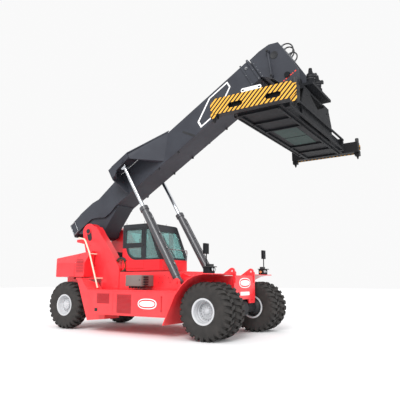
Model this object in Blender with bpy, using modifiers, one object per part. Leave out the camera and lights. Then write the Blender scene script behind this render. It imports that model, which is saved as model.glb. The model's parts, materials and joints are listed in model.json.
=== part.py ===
# Reach stacker, built in metres with +Z up.
# Lengths along X are measured from the front axle, which stands at FRONT_AXLE_X,
# so that the origin lies on the ground under the middle of the whole machine.
import math

import bmesh
import bpy
from mathutils import Matrix, Vector

# ---- driving dimensions -------------------------------------------------
FRONT_AXLE_X = 2.025
WHEELBASE = 6.10
TYRE_RADIUS = 0.82
OUTER_TWIN_Y = 1.81
TWIN_SPACING = 0.58
REAR_WHEEL_Y = 1.38
KINGPIN_Y = 0.95

BOOM_ANGLE = math.radians(30.6)
BOOM_PIVOT = (-5.75, 3.48)
BOOM_HALF_WIDTH = 0.50
BOOM_BOTTOM = 0.335
BOOM_TOP = 1.17
BOOM_FRONT = 8.25
BOOM_SEAM = 1.35
INNER_TAIL = 0.75
HEAD_PIN = (8.99, -0.21)

LIFT_Y = 1.05
LIFT_BASE = (-1.50, 1.62)
LIFT_EYE = (2.68, 0.945)
LIFT_STROKE_IN = 1.46

FRAME_HALF_WIDTH = 0.88
TOWER_INNER_Y = 0.58
TOWER_OUTER_Y = 0.90
BODY_HALF_WIDTH = 1.40
BOX_OUTER_Y = 2.00
FENDER_OUTER_Y = 2.15
CAB_HALF_WIDTH = 0.80
CAB_REAR = -4.13
CAB_FLOOR = 2.003
CAB_WALL = 0.055

SPREADER_HALF_LENGTH = 3.03
SPREADER_HALF_WIDTH = 1.215
SPREADER_LOW = 6.02
SPREADER_HIGH = 6.46
LOCK_Y = 2.926
LOCK_X = 1.13

GAP = 0.0003
SIDES = {"right": -1, "left": 1}

# ---- colours, as linear red, green and blue -------------------------------
RED = (0.80, 0.035, 0.045, 1)
CHARCOAL = (0.055, 0.058, 0.068, 1)
BLACK = (0.012, 0.012, 0.014, 1)
STEEL = (0.55, 0.56, 0.58, 1)
CHROME = (0.80, 0.81, 0.83, 1)
RUBBER = (0.018, 0.017, 0.016, 1)
GLASS = (0.35, 0.62, 0.60, 1)
GREY = (0.30, 0.28, 0.27, 1)
CREAM = (0.75, 0.68, 0.55, 1)
YELLOW = (0.85, 0.48, 0.05, 1)


# ---- scene, collections, materials ----------------------------------------
for old in list(bpy.data.objects):
    bpy.data.objects.remove(old, do_unlink=True)

parts = bpy.data.collections.new("reach_stacker")
cutters = bpy.data.collections.new("cutters")
for collection in (parts, cutters):
    bpy.context.scene.collection.children.link(collection)


def material(name, colour, roughness, metallic):
    made = bpy.data.materials.new(name)
    made.use_nodes = True
    shader = made.node_tree.nodes["Principled BSDF"]
    shader.inputs["Base Color"].default_value = colour
    shader.inputs["Roughness"].default_value = roughness
    shader.inputs["Metallic"].default_value = metallic
    return made


RED_PAINT = material("red_paint", RED, 0.35, 0.0)
BOOM_PAINT = material("boom_paint", CHARCOAL, 0.45, 0.0)
BLACK_PAINT = material("black_paint", BLACK, 0.5, 0.0)
STRIPED_PAINT = material("striped_paint", YELLOW, 0.45, 0.0)
GREY_PAINT = material("grey_paint", GREY, 0.5, 0.0)
RIM_STEEL = material("rim_steel", STEEL, 0.35, 0.8)
ROD_CHROME = material("rod_chrome", CHROME, 0.12, 1.0)
PIPE_PAINT = material("pipe_paint", CREAM, 0.4, 0.2)
TYRE_RUBBER = material("tyre_rubber", RUBBER, 0.85, 0.0)
CAST_IRON = material("cast_iron", BLACK, 0.6, 0.5)
CAB_GLASS = material("cab_glass", GLASS, 0.05, 0.0)
SEAT_CLOTH = material("seat_cloth", BLACK, 0.8, 0.0)


# ---- frames of reference ----------------------------------------------------
def empty(name, place, turn_y=0.0, parent=None):
    made = bpy.data.objects.new(name, None)
    made.location = place
    made.rotation_euler = (0, turn_y, 0)
    made.parent = parent
    parts.objects.link(made)
    return made


ground = empty("front_axle_on_ground", (FRONT_AXLE_X, 0, 0))
boom_frame = empty("boom_pivot", (BOOM_PIVOT[0], 0, BOOM_PIVOT[1]), -BOOM_ANGLE, ground)


def boom_to_machine(along, up):
    """A point of the boom's side view, as X and Z from the front axle."""
    x = BOOM_PIVOT[0] + along * math.cos(BOOM_ANGLE) - up * math.sin(BOOM_ANGLE)
    z = BOOM_PIVOT[1] + along * math.sin(BOOM_ANGLE) + up * math.cos(BOOM_ANGLE)
    return x, z


PIN_X, PIN_Z = boom_to_machine(*HEAD_PIN)
EYE_X, EYE_Z = boom_to_machine(*LIFT_EYE)
LIFT_LENGTH = math.hypot(EYE_X - LIFT_BASE[0], EYE_Z - LIFT_BASE[1])
LIFT_ANGLE = math.atan2(EYE_Z - LIFT_BASE[1], EYE_X - LIFT_BASE[0])


# ---- shapes -------------------------------------------------------------------
def helper(name, data):
    """A solid that is only cut from or joined to others until it becomes a part."""
    made = bpy.data.objects.new(name, data)
    made.hide_render = True
    made.display_type = "WIRE"
    cutters.objects.link(made)
    return made


def as_mesh(source, weld):
    bpy.context.view_layer.update()
    evaluated = source.evaluated_get(bpy.context.evaluated_depsgraph_get())
    mesh = bpy.data.meshes.new_from_object(evaluated)
    shape = bmesh.new()
    shape.from_mesh(mesh)
    bmesh.ops.transform(shape, matrix=source.matrix_world, verts=shape.verts)
    bmesh.ops.remove_doubles(shape, verts=shape.verts, dist=weld)
    bmesh.ops.recalc_face_normals(shape, faces=shape.faces)
    shape.to_mesh(mesh)
    shape.free()
    bpy.data.objects.remove(source, do_unlink=True)
    return helper("solid", mesh)


def block(low, high):
    """A box from its lowest to its highest corner."""
    shape = bmesh.new()
    bmesh.ops.create_cube(shape, size=1)
    size = Vector(high) - Vector(low)
    middle = (Vector(high) + Vector(low)) / 2
    place = Matrix.Translation(middle) @ Matrix.Diagonal((*size, 1))
    bmesh.ops.transform(shape, matrix=place, verts=shape.verts)
    mesh = bpy.data.meshes.new("block")
    shape.to_mesh(mesh)
    shape.free()
    return helper("block", mesh)


def both_sides(low, high, side):
    """A box given for the left side, moved to the side asked for."""
    y_near, y_far = sorted((low[1] * side, high[1] * side))
    return block((low[0], y_near, low[2]), (high[0], y_far, high[2]))


PLANES = {
    "xz": Matrix(((1, 0, 0), (0, 0, -1), (0, 1, 0))),
    "yz": Matrix(((0, 0, 1), (1, 0, 0), (0, 1, 0))),
    "xy": Matrix.Identity(3),
}
NORMALS = {"xz": (0, 1, 0), "yz": (1, 0, 0), "xy": (0, 0, 1)}


def prism(outline, low, high, plane="xz"):
    """A flat outline given thickness from low to high across its plane."""
    low, high = sorted((low, high))
    curve = bpy.data.curves.new("outline", "CURVE")
    curve.dimensions = "2D"
    curve.fill_mode = "BOTH"
    curve.extrude = (high - low) / 2
    spline = curve.splines.new("POLY")
    spline.points.add(len(outline) - 1)
    for point, (across, up) in zip(spline.points, outline):
        point.co = (across, up, 0, 1)
    spline.use_cyclic_u = True
    source = bpy.data.objects.new("outline", curve)
    middle = Vector(NORMALS[plane]) * (low + high) / 2
    source.matrix_world = Matrix.Translation(middle) @ PLANES[plane].to_4x4()
    cutters.objects.link(source)
    return as_mesh(source, 0.00001)


def smooth(target, angle=40):
    target.data.shade_smooth()
    target.data.set_sharp_from_angle(angle=math.radians(angle))


def rod(start, end, radius, segments=16, end_radius=None):
    """A round bar or cone between two points."""
    start, end = Vector(start), Vector(end)
    along = end - start
    shape = bmesh.new()
    bmesh.ops.create_cone(
        shape, cap_ends=True, segments=segments, radius1=radius,
        radius2=radius if end_radius is None else end_radius, depth=along.length)
    turn = Vector((0, 0, 1)).rotation_difference(along).to_matrix().to_4x4()
    place = Matrix.Translation((start + end) / 2) @ turn
    bmesh.ops.transform(shape, matrix=place, verts=shape.verts)
    mesh = bpy.data.meshes.new("rod")
    shape.to_mesh(mesh)
    shape.free()
    made = helper("rod", mesh)
    smooth(made)
    return made


def turned(profile, steps, closed=False):
    """A profile of radius and height, run from top to bottom, turned about Z."""
    mesh = bpy.data.meshes.new("profile")
    points = [(radius, 0, height) for radius, height in profile]
    edges = [(i, i + 1) for i in range(len(points) - 1)]
    if closed:
        edges.append((len(points) - 1, 0))
    mesh.from_pydata(points, edges, [])
    made = helper("turned", mesh)
    screw = made.modifiers.new("turn", "SCREW")
    screw.steps = screw.render_steps = steps
    screw.use_merge_vertices = True
    screw.merge_threshold = 0.0001
    screw.use_smooth_shade = True
    return made


def hull(points):
    """The smallest solid with flat faces round a few corner points."""
    shape = bmesh.new()
    for point in points:
        shape.verts.new(point)
    bmesh.ops.convex_hull(shape, input=shape.verts)
    bmesh.ops.recalc_face_normals(shape, faces=shape.faces)
    mesh = bpy.data.meshes.new("hull")
    shape.to_mesh(mesh)
    shape.free()
    return helper("hull", mesh)


def tube(points, radius):
    """A pipe along straight runs between its points."""
    curve = bpy.data.curves.new("tube", "CURVE")
    curve.dimensions = "3D"
    curve.bevel_depth = radius
    curve.bevel_resolution = 2
    curve.use_fill_caps = True
    spline = curve.splines.new("POLY")
    spline.points.add(len(points) - 1)
    for point, place in zip(spline.points, points):
        point.co = (*place, 1)
    source = bpy.data.objects.new("tube", curve)
    cutters.objects.link(source)
    made = as_mesh(source, 0.00001)
    smooth(made)
    return made


def arc(centre, radius, start, end, steps):
    """Points on an arc, with its angles in degrees."""
    angles = [math.radians(start + (end - start) * i / steps) for i in range(steps + 1)]
    return [(centre[0] + radius * math.cos(a), centre[1] + radius * math.sin(a)) for a in angles]


def ribbon(path, thickness):
    """The outline of a sheet that follows a path, thickened to the path's left."""
    offset = []
    for i, (x, z) in enumerate(path):
        before = path[max(i - 1, 0)]
        after = path[min(i + 1, len(path) - 1)]
        length = math.hypot(after[0] - before[0], after[1] - before[1])
        offset.append((x - (after[1] - before[1]) * thickness / length,
                       z + (after[0] - before[0]) * thickness / length))
    return path + offset[::-1]


def node(name, base, look, joins=(), cuts=(), frame=ground, origin=None):
    """Turn a helper into a named part, joined with and cut by other helpers."""
    for piece in (base, *joins, *cuts):
        piece.parent = frame
    for kind, pieces in (("UNION", joins), ("DIFFERENCE", cuts)):
        for piece in pieces:
            modifier = base.modifiers.new(kind.lower(), "BOOLEAN")
            modifier.operation = kind
            modifier.object = piece
            modifier.solver = "EXACT"
    if origin is not None:
        base.data.transform(Matrix.Translation(-Vector(origin)))
        base.location = origin
    base.name = name
    base.hide_render = False
    base.display_type = "TEXTURED"
    cutters.objects.unlink(base)
    parts.objects.link(base)
    base.data.materials.clear()
    base.data.materials.append(look)
    return base


# ---- chassis ------------------------------------------------------------------
def main_frame():
    spine = prism(
        [(-6.93, 1.125), (-5.15, 1.12), (-4.95, 0.62), (-1.25, 0.63), (-0.85, 1.13),
         (0.22, 1.14), (0.22, 1.82), (-4.60, 1.80), (-4.70, 1.75), (-6.93, 1.74)], -0.45, 0.45)
    waist = prism(
        [(-5.02, 0.70), (-1.60, 0.70), (-1.60, 1.97), (-5.02, 1.97)],
        -FRAME_HALF_WIDTH, FRAME_HALF_WIDTH)
    nose = prism(
        [(-1.70, 1.15), (0.21, 1.15), (0.21, 1.81), (-1.35, 1.81), (-1.70, 1.94)], -0.70, 0.70)
    tower_outline = (
        [(-5.04, 1.05), (-4.18, 1.05), (-4.18, 2.10), (-4.59, 2.67), (-4.92, 3.09), (-5.13, 3.33),
         (-5.26, 3.51), (-5.37, 3.63)]
        + arc((-5.73, 3.44), 0.325, 42, 170, 8)
        + [(-6.02, 3.25), (-5.75, 2.30), (-5.62, 1.76), (-5.04, 1.735)])
    joins = [waist, nose]
    for side in SIDES.values():
        joins.append(prism(tower_outline, side * TOWER_INNER_Y, side * TOWER_OUTER_Y))
        joins.append(both_sides((-1.80, 0.60, 1.40), (-1.22, FRAME_HALF_WIDTH + 0.02, 1.78), side))
        joins.append(prism(
            [(-1.72, 1.385), (-1.24, 1.385)] + arc(LIFT_BASE, 0.13, -10, 190, 8),
            side * 1.165, side * 1.205))
        joins.append(both_sides((-1.70, 0.80, 1.39), (-1.26, 1.185, 1.43), side))
        joins.append(rod((LIFT_BASE[0], side * 0.80, LIFT_BASE[1]),
                         (LIFT_BASE[0], side * 1.235, LIFT_BASE[1]), 0.05))
        joins.append(rod((BOOM_PIVOT[0], side * 0.75, BOOM_PIVOT[1]),
                         (BOOM_PIVOT[0], side * (TOWER_OUTER_Y + 0.02), BOOM_PIVOT[1]), 0.12))
    joins.append(prism([(-6.40, 3.10), (-5.80, 2.98), (-5.80, 3.20), (-6.40, 3.20)], -0.86, -0.64))
    node("main_frame", spine, RED_PAINT, joins)


def front_plate():
    plate = prism(
        [(-0.70, 1.10), (-0.66, 0.97), (-0.30, 0.97), (-0.24, 1.10), (0.24, 1.10), (0.30, 0.97),
         (0.66, 0.97), (0.70, 1.10), (0.70, 1.83), (-0.70, 1.83)], 0.2203, 0.27, "yz")
    joins, cuts = [], []
    for side in SIDES.values():
        joins.append(prism(
            [(-0.20, 1.8303), (0.2208, 1.8303), (0.2208, 1.60), (0.30, 1.60), (0.30, 1.93)]
            + arc((0.17, 1.97), 0.09, 0, 110, 5),
            side * 0.605, side * 0.665))
        cuts.append(rod((0.17, side * 0.58, 1.96), (0.17, side * 0.69, 1.96), 0.035, 12))
        cuts.append(rod((0.19, side * 0.48, 1.06), (0.32, side * 0.48, 1.06), 0.035, 12))
    node("front_plate", plate, RED_PAINT, joins, cuts)


def counterweight():
    body = prism(
        [(-7.36, 1.80), (-5.862, 1.80), (-5.862, 2.66), (-7.05, 2.49), (-7.36, 2.28)],
        -BODY_HALF_WIDTH, BODY_HALF_WIDTH)
    lower = prism(
        [(-7.34, 1.30), (-7.10, 0.92), (-6.96, 0.92), (-6.96, 1.90), (-7.34, 1.90)], -0.42, 0.42)
    cuts = [block((-6.10, -0.925, 1.7), (-5.5, 0.925, 3.0))]
    for side in SIDES.values():
        cuts.append(prism([(-7.6, side * 0.75), (-7.6, side * 1.6), (-6.61, side * 1.6)], 0.5, 3.0, "xy"))
        cuts.append(prism([(side * 1.44, 2.24), (side * 1.6, 3.0), (side * 0.90, 3.0)], -7.6, -5.0, "yz"))
    node("counterweight", body, RED_PAINT, [lower], cuts)


def engine_covers():
    for name, side in SIDES.items():
        body = prism([(-5.858, 1.80), (-5.40, 1.80), (-5.36, 2.735), (-5.858, 2.66)],
                     side * 0.93, side * BODY_HALF_WIDTH)
        cut = prism([(side * 1.44, 2.24), (side * 1.6, 3.0), (side * 0.90, 3.0)], -7.6, -5.0, "yz")
        node(f"engine_cover_{name}", body, RED_PAINT, (), [cut])


def engine_block():
    node("engine_block", block((-5.95, -0.45, 1.9703), (-4.70, 0.45, 2.70)), CAST_IRON)


def side_boxes():
    for name, side in SIDES.items():
        box = prism([(-4.50, 1.38), (-4.24, 0.89), (-4.20, 0.60), (-1.24, 0.60), (-0.84, 1.38)],
                    side * (TOWER_OUTER_Y + 0.02), side * BOX_OUTER_Y)
        skirt = prism([(-5.46, 1.77), (-5.36, 1.66), (-4.83, 0.36), (-4.02, 0.43), (-4.02, 1.37),
                       (-4.86, 1.37), (-5.20, 1.77)], side * 1.0, side * 1.70)
        kingpin_y = side * KINGPIN_Y
        wheel_room = rod((-WHEELBASE, kingpin_y, 0.2), (-WHEELBASE, kingpin_y, 1.72), 1.05, 32)
        node(f"side_box_{name}", box, RED_PAINT, [skirt], [wheel_room])


def front_fenders():
    path = [(-1.29, 0.39), (-1.02, 0.95), (-0.87, 1.25), (-0.66, 1.51), (-0.44, 1.69), (-0.19, 1.80),
            (0.09, 1.845), (0.22, 1.845)]
    for name, side in SIDES.items():
        sheet = prism(ribbon(path, 0.03), side * 0.7103, side * FENDER_OUTER_Y)
        node(f"front_fender_{name}", sheet, RED_PAINT)


def electric_cabinet():
    box = block((-3.33, -1.50, 1.49), (-2.66, -(FRAME_HALF_WIDTH + GAP), 1.85))
    node("electric_cabinet", box, GREY_PAINT)


def mirrors():
    for name, side in SIDES.items():
        foot = both_sides((-0.02, 1.60, 1.8755), (0.14, 1.98, 2.05), side)
        pole = rod((0.04, side * 1.90, 2.00), (0.04, side * 1.90, 2.62), 0.018, 10)
        head = both_sides((0.00, 1.80, 2.42), (0.07, 2.02, 2.72), side)
        node(f"mirror_and_lamp_{name}", foot, BLACK_PAINT, [pole, head])


def hydraulic_pipe():
    y = -1.25
    route = [(-6.36, -0.78, 3.27), (-6.16, -0.98, 3.25), (-5.65, -1.20, 3.16), (-5.53, y, 3.08),
             (-5.31, y, 2.67), (-5.02, y, 1.90), (-4.84, y, 1.42)]
    clamps = [rod((-5.30, -0.9003, 2.62), (-5.30, y, 2.62), 0.025, 10),
              rod((-4.97, -0.9003, 1.75), (-4.97, y, 1.75), 0.025, 10)]
    node("hydraulic_pipe", tube(route, 0.03), PIPE_PAINT, clamps)


# ---- axles and wheels ------------------------------------------------------------
def drive_axle():
    half = [(0.0, 1.495), (0.27, 1.495), (0.27, 1.08), (0.16, 1.00), (0.16, 0.45), (0.29, 0.22)]
    axle = turned(half + [(radius, -height) for radius, height in half[::-1]], 16)
    axle.rotation_euler = (math.radians(90), 0, 0)
    axle.location = (0, 0, TYRE_RADIUS)
    pads = [both_sides((-0.16, 0.47, 0.84), (0.16, 0.68, 1.1497), side) for side in SIDES.values()]
    node("drive_axle", axle, CAST_IRON, pads)


def steer_axle():
    x = -WHEELBASE
    beam = block((x - 0.15, -0.72, 0.68), (x + 0.15, 0.72, 0.98))
    saddle = block((x - 0.13, -0.25, 0.90), (x + 0.13, 0.25, 1.1197))
    joins = [saddle]
    for side in SIDES.values():
        for low, high in ((0.60, 0.665), (0.985, 1.05)):
            ear = prism([(x - 0.10, side * 0.60), (x + 0.10, side * 0.60)]
                        + arc((x, side * KINGPIN_Y), 0.10, 0, side * 180, 8), low, high, "xy")
            joins.append(ear)
        joins.append(both_sides((x - 0.10, 0.60, 0.62), (x + 0.10, 0.80, 1.03), side))
    node("steer_axle", beam, CAST_IRON, joins)


def knuckles():
    for name, side in SIDES.items():
        pin = (-WHEELBASE, side * KINGPIN_Y, TYRE_RADIUS)
        post = rod((pin[0], pin[1], 0.672), (pin[0], pin[1], 0.978), 0.095)
        spindle = rod((pin[0], side * KINGPIN_Y, TYRE_RADIUS), (pin[0], side * 1.385, TYRE_RADIUS), 0.07)
        arm = both_sides((pin[0] + 0.02, KINGPIN_Y, 0.70), (pin[0] + 0.32, KINGPIN_Y + 0.10, 0.76), side)
        node(f"knuckle_{name}", post, CAST_IRON, [spindle, arm], origin=pin)


TYRE_PROFILE = [(0.3403, 0.1955), (0.378, 0.1955), (0.42, 0.24), (0.70, 0.25), (0.80, 0.215),
                (0.82, 0.16)]
REAR_RIM_PROFILE = [(0, 0.14), (0.15, 0.14), (0.15, 0.06), (0.315, 0.06), (0.315, 0.215), (0.375, 0.215),
                    (0.375, 0.196), (0.34, 0.196), (0.34, -0.196), (0.375, -0.196), (0.375, -0.215),
                    (0.315, -0.215), (0.315, 0.02), (0, 0.02)]
TWIN_RIM_PROFILE = [(0, -0.02), (0.17, -0.02), (0.20, -0.06), (0.20, -0.16), (0.315, -0.16),
                    (0.315, 0.215), (0.375, 0.215), (0.375, 0.196), (0.34, 0.196), (0.34, -0.196),
                    (0.375, -0.196), (0.375, -0.215), (0.335, -0.215), (0.335, -0.365), (0.375, -0.365),
                    (0.375, -0.384), (0.34, -0.384), (0.34, -0.776), (0.375, -0.776), (0.375, -0.795),
                    (0.315, -0.795), (0.315, -0.30), (0, -0.30)]


def wheel_piece(name, profile, look, x, side, y, steps, closed=False):
    piece = turned(profile, steps, closed)
    piece.rotation_euler = (-side * math.radians(90), 0, 0)
    piece.location = (x, side * y, TYRE_RADIUS)
    node(name, piece, look)


def wheels():
    tyre = TYRE_PROFILE + [(radius, -height) for radius, height in TYRE_PROFILE[::-1]]
    for name, side in SIDES.items():
        wheel_piece(f"front_tyre_{name}_outer", tyre, TYRE_RUBBER, 0, side, OUTER_TWIN_Y, 24, True)
        wheel_piece(f"front_tyre_{name}_inner", tyre, TYRE_RUBBER, 0, side,
                    OUTER_TWIN_Y - TWIN_SPACING, 24, True)
        wheel_piece(f"front_rim_{name}", TWIN_RIM_PROFILE, RIM_STEEL, 0, side, OUTER_TWIN_Y, 24)
        wheel_piece(f"rear_tyre_{name}", tyre, TYRE_RUBBER, -WHEELBASE, side, REAR_WHEEL_Y, 24, True)
        wheel_piece(f"rear_rim_{name}", REAR_RIM_PROFILE, RIM_STEEL, -WHEELBASE, side, REAR_WHEEL_Y, 24)


# ---- cab ---------------------------------------------------------------------------
WINDSCREEN_FOOT = (-2.42, 2.38)
WINDSCREEN_HEAD = (-2.92, 3.50)
WINDSCREEN_HALF_WIDTH = 0.64


def cab_outline(inset):
    rear = CAB_REAR + inset
    low = CAB_FLOOR + inset
    high = 3.60 - 1.6 * inset
    return [(rear, low), (WINDSCREEN_FOOT[0] - inset, low), (WINDSCREEN_FOOT[0] - inset, WINDSCREEN_FOOT[1]),
            (WINDSCREEN_HEAD[0] - inset, high), (rear, high)]


DOOR_REAR = -4.064
DOOR_FRONT = -3.156
DOOR_LOW = 2.08
DOOR_HIGH = 3.465


def cab_shell():
    body = prism(cab_outline(0), -CAB_HALF_WIDTH, CAB_HALF_WIDTH)
    inner = CAB_HALF_WIDTH - CAB_WALL
    cuts = [prism(cab_outline(CAB_WALL), -inner, inner)]
    for side in SIDES.values():
        cuts.append(prism([(-2.60, side * 0.95), (-2.20, side * 0.95), (-2.20, side * 0.44)], 1.9, 3.8, "xy"))
        cuts.append(both_sides((DOOR_REAR - 0.006, 0.60, DOOR_LOW - 0.006),
                               (DOOR_FRONT + 0.006, 0.95, DOOR_HIGH + 0.006), side))
        cuts.append(prism([(-3.08, 2.42), (-2.54, 2.42), (-2.95, 3.42), (-3.08, 3.42)], side * 0.60, side * 0.95))
    cuts.append(prism([(-2.62, 2.44), (-2.30, 2.44), (-2.60, 3.36), (-3.00, 3.36)],
                      -WINDSCREEN_HALF_WIDTH, WINDSCREEN_HALF_WIDTH))
    cuts.append(block((CAB_REAR - 0.1, -0.58, 2.78), (CAB_REAR + 0.1, 0.58, 3.38)))
    node("cab_shell", body, BLACK_PAINT, (), cuts)


def cab_doors():
    for name, side in SIDES.items():
        hinge = (DOOR_REAR - 0.006, side * (CAB_HALF_WIDTH + 0.003), CAB_FLOOR)
        leaf = both_sides((DOOR_REAR, CAB_HALF_WIDTH - CAB_WALL, DOOR_LOW),
                          (DOOR_FRONT, CAB_HALF_WIDTH, DOOR_HIGH), side)
        upper = both_sides((-3.98, 0.6, 2.95), (-3.27, 0.95, 3.42), side)
        lower = prism([(-3.27, 2.44), (-3.27, 2.81), (-3.90, 2.81)] + arc((-3.50, 2.84), 0.40, 200, 270, 5),
                      side * 0.6, side * 0.95)
        node(f"cab_door_{name}", leaf, BLACK_PAINT, (), [upper, lower], origin=hinge)


def cab_glass():
    shift = 0.022
    foot_x = WINDSCREEN_FOOT[0] - shift
    slope = (WINDSCREEN_HEAD[0] - WINDSCREEN_FOOT[0]) / (3.60 - WINDSCREEN_FOOT[1])

    def lean(z):
        return foot_x + slope * (z - WINDSCREEN_FOOT[1])

    low, high = 2.4403, 3.3597
    pane = prism([(lean(low), low), (lean(high), high), (lean(high) - 0.012, high), (lean(low) - 0.012, low)],
                 -WINDSCREEN_HALF_WIDTH + GAP, WINDSCREEN_HALF_WIDTH - GAP)
    node("windscreen", pane, CAB_GLASS)
    rear_pane = block((CAB_REAR + 0.02, -0.5797, 2.7803), (CAB_REAR + 0.032, 0.5797, 3.3797))
    node("rear_window", rear_pane, CAB_GLASS)
    for name, side in SIDES.items():
        side_pane = prism([(-3.0797, 2.4203), (-2.5405, 2.4203), (-2.9505, 3.4197), (-3.0797, 3.4197)],
                          side * 0.765, side * 0.777)
        node(f"side_window_{name}", side_pane, CAB_GLASS)


def cab_inside():
    floor = CAB_FLOOR + CAB_WALL + GAP
    base = block((-3.74, -0.20, floor), (-3.36, 0.20, 2.42))
    cushion = block((-3.78, -0.25, 2.40), (-3.26, 0.25, 2.54))
    back = prism([(-3.80, 2.45), (-3.66, 2.45), (-3.80, 3.18), (-3.92, 3.16)], -0.23, 0.23)
    head = block((-3.93, -0.13, 3.14), (-3.82, 0.13, 3.34))
    node("driver_seat", base, SEAT_CLOTH, [cushion, back, head])
    column = rod((-2.86, 0, floor + 0.02), (-2.98, 0, 2.66), 0.05, 12)
    foot = block((-2.98, -0.14, floor), (-2.72, 0.14, floor + 0.10))
    steering_wheel = rod((-2.975, 0, 2.65), (-2.99, 0, 2.68), 0.20, 20)
    node("steering_console", foot, BLACK_PAINT, [column, steering_wheel])


# ---- boom -----------------------------------------------------------------------------
def boom_wings():
    """Brackets on the boom's sides that take the lift cylinders' rods."""
    for name, side in SIDES.items():
        top = prism([(2.00, side * 0.48), (2.05, side * 1.10), (2.30, side * 1.215), (3.12, side * 1.215),
                     (4.68, side * 0.48)], 1.20, 1.235, "xy")
        band = prism([(2.10, 0.86), (2.26, 0.84), (2.42, 0.98), (3.10, 1.03), (3.10, 1.215), (2.10, 1.215)],
                     side * 1.175, side * 1.213)
        rear = prism([(side * 0.48, 0.36), (side * 0.62, 0.36), (side * 1.09, 0.85), (side * 1.09, 1.21),
                      (side * 0.48, 1.21)], 2.02, 2.06, "yz")
        corner = prism([(2.035, side * 0.95), (2.075, side * 0.90), (2.32, side * 1.16), (2.32, side * 1.21),
                        (2.22, side * 1.21), (2.035, side * 1.07)], 0.87, 1.225, "xy")
        gusset = hull([(3.03, side * 1.205, 1.222), (3.03, side * 1.205, 1.04), (3.03, side * 1.16, 1.222),
                       (4.66, side * 0.47, 1.222), (4.28, side * 0.47, 0.85), (3.96, side * 0.47, 0.37),
                       (3.70, side * 0.47, 0.50), (3.70, side * 0.47, 1.222)])
        cap = rod((2.78, side * 1.20, 1.09), (2.78, side * 1.245, 1.09), 0.06, 14)
        boom_room = block((1.9, -BOOM_HALF_WIDTH - GAP, 0.2), (4.9, BOOM_HALF_WIDTH + GAP, 1.4))
        node(f"boom_wing_{name}", top, BOOM_PAINT, [band, rear, corner, gusset, cap], [boom_room], boom_frame)


def boom_cavity():
    """The room inside the boom that its inner beam slides in."""
    return block((INNER_TAIL - 0.05, -0.475, 0.365), (BOOM_FRONT + 0.2, 0.475, 1.05))


def boom_tail():
    end = BOOM_SEAM - GAP
    box = prism(
        [(-1.09, 0.53), (-0.61, 0.58), (0.03, 0.60), (0.33, 0.44), (0.61, 0.26), (0.95, 0.26),
         (1.30, BOOM_BOTTOM), (end, BOOM_BOTTOM), (end, 1.137), (0.65, 1.06),
         (0.27, 1.13), (-0.37, 1.12), (-0.77, 1.05), (-1.10, 1.04)], -BOOM_HALF_WIDTH, BOOM_HALF_WIDTH)
    belly = prism(
        [(-1.00, 0.60), (-0.64, 0.36)] + arc((0, 0), 0.27, 190, 320, 6) + [(end, 0.31), (end, 0.62)],
        -0.42, 0.42)
    hub = rod((0, -0.572, 0), (0, 0.572, 0), 0.19, 24)
    node("boom_tail", box, BOOM_PAINT, [belly, hub], [boom_cavity()], boom_frame)


def boom_outer():
    box = prism([(BOOM_SEAM, BOOM_BOTTOM), (BOOM_FRONT, BOOM_BOTTOM), (BOOM_FRONT, BOOM_TOP), (1.93, 1.20),
                 (BOOM_SEAM, 1.137)], -BOOM_HALF_WIDTH, BOOM_HALF_WIDTH)
    collars = [block((low, -0.535, 0.30), (high, 0.535, 1.205))
               for low, high in ((7.93, 7.98), (8.20, BOOM_FRONT + 0.02))]
    node("boom_outer", box, BOOM_PAINT, collars, [boom_cavity()], boom_frame)


def boom_inner():
    beam = block((INNER_TAIL, -0.455, 0.385), (8.50, 0.455, 1.03))
    head = prism(
        [(8.31, 0.36), (8.31, 1.14), (8.70, 1.15), (9.07, 1.10), (9.34, 0.93), (9.36, -0.21), (9.17, -0.55),
         (9.02, -0.66), (8.80, -0.52), (8.56, 0.10)], -0.49, 0.49)
    slot = block((8.45, -0.31, -0.90), (9.60, 0.31, 0.28))
    joins = [head]
    for side in SIDES.values():
        joins.append(rod((8.93, side * 0.555, 0.88), (8.60, side * 0.555, 0.10), 0.03, 10))
        joins.append(rod((8.93, side * 0.44, 0.88), (8.93, side * 0.60, 0.88), 0.06, 12))
        joins.append(rod((8.60, side * 0.44, 0.10), (8.60, side * 0.60, 0.10), 0.06, 12))
    bore = rod((HEAD_PIN[0], -0.60, HEAD_PIN[1]), (HEAD_PIN[0], 0.60, HEAD_PIN[1]), 0.097)
    hollow = block((INNER_TAIL - 0.10, -0.43, 0.41), (8.28, 0.43, 1.005))
    node("boom_inner", beam, BOOM_PAINT, joins, [slot, bore, hollow], boom_frame)


def head_hoses():
    """Hoses that bow out in front of the boom's head, from one gland to the next."""
    for number, (y, reach) in enumerate(((-0.30, 0.235), (-0.12, 0.20), (0.22, 0.17)), 1):
        bow = arc((9.365, 0.61), reach, 86, -86, 20)
        hose = tube([(along, y, up) for along, up in bow], 0.022)
        node(f"head_hose_{number}", hose, BLACK_PAINT, frame=boom_frame)


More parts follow.
